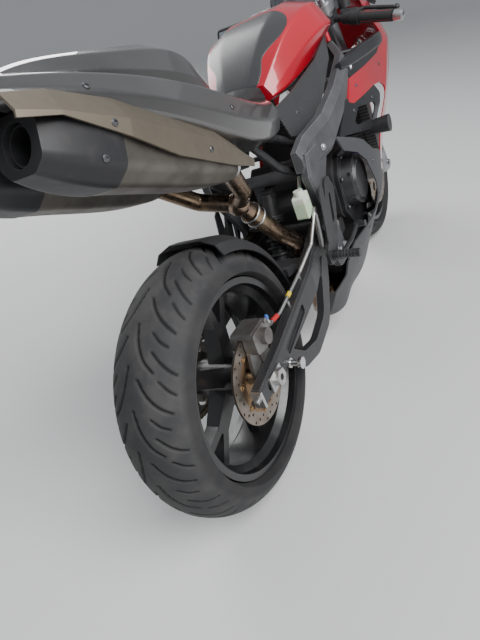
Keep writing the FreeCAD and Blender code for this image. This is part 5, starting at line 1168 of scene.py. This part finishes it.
class MOTO_OT_lamps_and_glass(PieceOperator):
    """Mirror glass, headlight bowls and the dash dial with its display"""

    bl_idname = "moto.lamps_and_glass"
    bl_label = "Lamps and glass"

    def build(self):
        row_piece("mirror_glass", self.mirrors, "chassis", "mirror", degrees=20.0)
        row_piece("headlight_bowls", self.bowls, "chassis", "reflector")
        row_piece("dash_dial", self.dial, "chassis", "display")
        row_piece("dash_marks", self.marks, "chassis", "white_mark", degrees=20.0)

    def plate(self, work, corners, thickness):
        """Flat plate between a face and its copy moved along the thickness."""
        front = [work.verts.new(c) for c in corners]
        back = [work.verts.new(c + thickness) for c in corners]
        work.faces.new(front)
        work.faces.new(list(reversed(back)))
        for k in range(len(front)):
            n = (k + 1) % len(front)
            work.faces.new([front[k], back[k], back[n], front[n]])

    def mirrors(self, work):
        for side in (-1, 1):
            outline = []
            for dy, dz in ((64, -16), (46, 24), (-52, 30), (-64, -2), (-38, -30)):
                place = bike(1.25, side * (0.330 - dy / 1000.0), 0.975 + dz / 1000.0)
                outline.append(cast("mirrors", place, BIKE_X)[0] - BIKE_X * 0.0012)
            self.plate(work, outline, BIKE_X * 0.001)

    def bowls(self, work):
        bowl = [(0, 0), (0.010, 0.001), (0.022, 0.008), (0.028, 0.018), (0.0285, 0.019), (0.0285, 0.014)]
        bulb = [(0.004, 0), (0.004, 0.012), (0, 0.014)]
        for side in (-1, 1):
            aim = (BIKE_X * 0.98 + BIKE_Y * (0.2 * side)).normalized()
            lathe(work, bike(1.500, side * 0.088, 0.766), aim, bowl, 28)
            lathe(work, bike(1.501, side * 0.088, 0.766), BIKE_X, bulb, 12)

    def facing(self):
        """Middle of the dial, and its directions: out of it, to the right and up."""
        out = (BIKE_X * -14 + BIKE_Z * 5).normalized()
        place = cast("dash", bike(1.10, -0.036, 0.931), BIKE_X)[0]
        right = -BIKE_Y
        return place, out, right, out.cross(right)

    def dial(self, work):
        place, out = self.facing()[:2]
        profile = [(0.0355, -0.001), (0.0365, 0.003), (0.034, 0.0032), (0.033, 0.0008), (0, 0.0008)]
        lathe(work, place, out, profile, 40)

    def marks(self, work):
        """Marks round the dial and the needle at zero."""
        place, out, right, up = self.facing()
        middle = place + out * 0.001
        for k in range(13):
            a = math.radians(-130 + 260 * k / 12)
            ray = right * math.sin(a) + up * math.cos(a)
            square = ray.cross(out)
            low, high = middle + ray * 0.025, middle + ray * 0.031
            w = square * (0.0010 if k % 2 else 0.0016)
            self.plate(work, [low - w, low + w, high + w, high - w], out * 0.0006)
        a = math.radians(-130)
        ray = right * math.sin(a) + up * math.cos(a)
        w = ray.cross(out) * 0.0009
        tip = middle + ray * 0.024
        needle = [middle - w * 2, middle + w * 2, tip + w * 0.3, tip - w * 0.3]
        self.plate(work, needle, out * 0.0012)


class MOTO_OT_exhaust_details(PieceOperator):
    """Clamp bands on the pipes and the silencers, and the ring round the fuel filler"""

    bl_idname = "moto.exhaust_details"
    bl_label = "Exhaust details"

    def build(self):
        row_piece("pipe_clamps", self.clamps, "chassis", "silver")
        row_piece("filler_ring", self.filler, "chassis", "silver")

    def clamps(self, work):
        elbow, joint = Vector((0.402, -0.044, 0.488)), Vector((0.300, -0.025, 0.622))
        run = (joint - elbow).normalized()
        band = [(0.0285, 0), (0.0298, 0.001), (0.0298, 0.004), (0.0285, 0.005)]
        for step in (0.092, 0.117):
            lathe(work, bike(*(elbow + run * step)), row_direction(run), band, 40)
        clamp = [(0.0235, 0), (0.0262, 0.001), (0.0262, 0.012), (0.0235, 0.013)]
        for side in (-1, 1):
            front, rear = Vector((0.178, side * 0.104, 0.748)), Vector((-0.262, side * 0.092, 0.943))
            back = (rear - front).normalized()
            place, turn = bike(*(front - back * 0.020)), row_direction(back)
            lathe(work, place, turn, clamp, 36)
            bolt = place + BIKE_Y * (side * 0.026) + turn * 0.006
            hex_bolt(work, bolt, BIKE_Y * side, radius=0.004, height=0.006)

    def filler(self, work):
        place = cast("fuel_tank", bike(0.850, 0, 1.2), -BIKE_Z)[0]
        profile = [(0.033, -0.002), (0.0335, 0.0012), (0.031, 0.0022), (0.021, 0.0022),
                   (0.0205, 0.0008), (0.0195, 0.0008), (0.019, 0.0026), (0, 0.0030)]
        lathe(work, place, BIKE_Z, profile, 48)
        for k in range(7):
            a = 2 * math.pi * k / 7
            out = BIKE_X * math.cos(a) + BIKE_Y * math.sin(a)
            spot = place + out * 0.026 + BIKE_Z * 0.002
            socket_screw(work, spot, BIKE_Z, radius=0.0032, height=0.0018)


class MOTO_OT_padded_seat(PieceOperator):
    """Rider's seat, swollen by its foam under a stitched cover"""

    bl_idname = "moto.padded_seat"
    bl_label = "Padded seat"

    def build(self):
        node = NODES["rider_seat"]
        mesh = node.data.copy()
        mesh.name = "seat_pad"
        piece = new_piece("seat_pad", mesh, "chassis")
        self.remesh(piece)
        start = [v.co.copy() for v in piece.data.vertices]
        self.swell(piece, start)
        self.seams(piece)
        piece.data.materials.clear()
        piece.data.materials.append(finish("seat"))
        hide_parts("rider_seat")

    def apply(self, piece, modifier):
        bpy.context.view_layer.objects.active = piece
        with bpy.context.temp_override(object=piece, active_object=piece, selected_objects=[piece]):
            bpy.ops.object.modifier_apply(modifier=modifier.name)

    def remesh(self, piece):
        remesh = piece.modifiers.new("even", "REMESH")
        remesh.mode = "VOXEL"
        remesh.voxel_size = settings().seat_grid
        self.apply(piece, remesh)
        soft = piece.modifiers.new("soft", "SMOOTH")
        soft.factor = 0.5
        soft.iterations = 4
        self.apply(piece, soft)

    def swell(self, piece, start):
        """Blows the cover up a little with a short cloth run, its underside held."""
        group = piece.vertex_groups.new(name="held")
        low = [i for i, v in enumerate(piece.data.vertices) if v.normal.dot(BIKE_Z) < -0.2]
        group.add(low, 1.0, "REPLACE")
        cloth = piece.modifiers.new("foam", "CLOTH")
        cloth.settings.quality = 5
        cloth.settings.mass = 0.4
        cloth.settings.tension_stiffness = 40
        cloth.settings.compression_stiffness = 40
        cloth.settings.bending_stiffness = 4
        cloth.settings.use_pressure = True
        cloth.settings.uniform_pressure_force = settings().seat_pressure
        cloth.settings.vertex_group_mass = "held"
        cloth.settings.effector_weights.gravity = 0.0
        cloth.point_cache.frame_start = 1
        cloth.point_cache.frame_end = SWELL_FRAMES
        scene = bpy.context.scene
        for number in range(1, SWELL_FRAMES + 1):
            scene.frame_set(number)
        self.apply(piece, cloth)
        scene.frame_set(1)
        for vertex, before in zip(piece.data.vertices, start):
            move = vertex.co - before
            if move.length > settings().seat_swell:
                vertex.co = before + move * (settings().seat_swell / move.length)

    def seams(self, piece):
        """Presses two lengthwise seams and one across into the cover, and marks them."""
        smoother = piece.modifiers.new("fine", "SUBSURF")
        smoother.levels = 1
        self.apply(piece, smoother)
        mesh = piece.data
        mark = mesh.attributes.new("seam", "FLOAT", "POINT")
        values = []
        for vertex in mesh.vertices:
            place = bike_place(vertex.co)
            side_seam = abs(abs(place.y) - 0.082 - 0.10 * max(0.0, 0.30 - place.x))
            cross_seam = abs(place.x - 0.300)
            gap = min(side_seam, cross_seam if abs(place.y) < 0.11 else 1.0)
            depth = math.exp(-(gap / SEAM_WIDTH) ** 2) if vertex.normal.dot(BIKE_Z) > 0.3 else 0.0
            values.append(depth)
        moves = [v.normal * (SEAM_DEPTH * d) for v, d in zip(mesh.vertices, values)]
        for vertex, move in zip(mesh.vertices, moves):
            vertex.co -= move
        mark.data.foreach_set("value", values)
        mesh.polygons.foreach_set("use_smooth", [True] * len(mesh.polygons))


class MOTO_OT_stage(PieceOperator):
    """Floor, light and the camera at the photograph's angle"""

    bl_idname = "moto.stage"
    bl_label = "Stage"

    def build(self):
        self.floor()
        self.lights()
        self.camera()

    def floor(self):
        work = bmesh.new()
        bend = [math.pi * k / 24 for k in range(13)]
        rise = [(9.0 + 4.0 * math.sin(a), 4.0 - 4.0 * math.cos(a)) for a in bend]
        lathe(work, Vector((0, 0, 0)), Vector((0, 0, 1)), [(0, 0), (4.0, 0)] + rise + [(13.0, 6.0)], 96)
        bmesh.ops.recalc_face_normals(work, faces=work.faces)
        mesh = bpy.data.meshes.new("studio_floor")
        work.to_mesh(mesh)
        work.free()
        mesh.polygons.foreach_set("use_smooth", [True] * len(mesh.polygons))
        floor = bpy.data.objects.new("studio_floor", mesh)
        bpy.context.scene.collection.objects.link(floor)
        paint = Paint("studio_floor_paint", roughness=0.8)
        color = tuple(settings().floor_color)
        grain = paint.noise(60.0, 4.0)
        shade = paint.blend(grain, color, tuple(0.97 * c for c in color))
        mesh.materials.append(paint.feed(Base_Color=shade))

    def lights(self):
        world = bpy.data.worlds.new("studio_sky")
        bpy.context.scene.world = world
        world.use_nodes = True
        tree = world.node_tree
        sky = tree.nodes["Background"]
        sky.inputs["Strength"].default_value = settings().sky
        sky.inputs["Color"].default_value = (0.90, 0.95, 1.0, 1.0)
        for name, place, aim, size, power in (
            ("key", (-1.2, -2.6, 3.4), (0, 0, 0.5), 3.0, settings().key_light),
            ("fill", (1.5, 3.2, 2.6), (0, 0, 0.4), 3.0, 0.5 * settings().key_light),
        ):
            light = bpy.data.lights.new(name, "AREA")
            light.size = size
            light.energy = power
            lamp = bpy.data.objects.new(name, light)
            lamp.location = place
            lamp.rotation_euler = (Vector(aim) - Vector(place)).to_track_quat("-Z", "Y").to_euler()
            bpy.context.scene.collection.objects.link(lamp)

    def camera(self):
        yaw, tilt, roll = settings().camera_turn
        ahead = Vector((math.cos(tilt) * math.cos(yaw), math.cos(tilt) * math.sin(yaw), -math.sin(tilt)))
        right = Vector((math.sin(yaw), -math.cos(yaw), 0))
        up = right.cross(ahead)
        turned_right = right * math.cos(roll) + up * math.sin(roll)
        turned_up = up * math.cos(roll) - right * math.sin(roll)
        lens = bpy.data.cameras.new("photo_camera")
        lens.sensor_width = 36.0
        lens.lens = settings().camera_lens
        camera = bpy.data.objects.new("photo_camera", lens)
        turn = Matrix((turned_right, turned_up, -ahead)).transposed().to_4x4()
        camera.matrix_world = Matrix.Translation(Vector(settings().camera_place)) @ turn
        bpy.context.scene.collection.objects.link(camera)
        bpy.context.scene.camera = camera


OPERATORS = (
    MOTO_OT_cad_finishes,
    MOTO_OT_rear_tyre,
    MOTO_OT_front_tyre,
    MOTO_OT_padded_seat,
    MOTO_OT_tank_pad,
    MOTO_OT_screws,
    MOTO_OT_wheel_details,
    MOTO_OT_controls,
    MOTO_OT_brake_details,
    MOTO_OT_exhaust_details,
    MOTO_OT_lamps_and_glass,
    MOTO_OT_stage,
)


class MOTO_PT_panel(bpy.types.Panel):
    """Lists the motorcycle's pieces in the sidebar"""

    bl_idname = "MOTO_PT_panel"
    bl_label = "Motorcycle"
    bl_space_type = "VIEW_3D"
    bl_region_type = "UI"
    bl_category = "Motorcycle"

    def draw(self, context):
        for name in MotorcycleSettings.__annotations__:
            self.layout.prop(context.scene.motorcycle, name)
        for operator in OPERATORS:
            self.layout.operator(operator.bl_idname)


def register():
    bpy.utils.register_class(MotorcycleSettings)
    bpy.types.Scene.motorcycle = PointerProperty(type=MotorcycleSettings)
    for operator in OPERATORS:
        bpy.utils.register_class(operator)
    bpy.utils.register_class(MOTO_PT_panel)


def unregister():
    bpy.utils.unregister_class(MOTO_PT_panel)
    for operator in reversed(OPERATORS):
        bpy.utils.unregister_class(operator)
    del bpy.types.Scene.motorcycle
    bpy.utils.unregister_class(MotorcycleSettings)


def main():
    register()
    for operator in OPERATORS:
        group, name = operator.bl_idname.split(".")
        getattr(getattr(bpy.ops, group), name)()


if __name__ == "__main__":
    main()
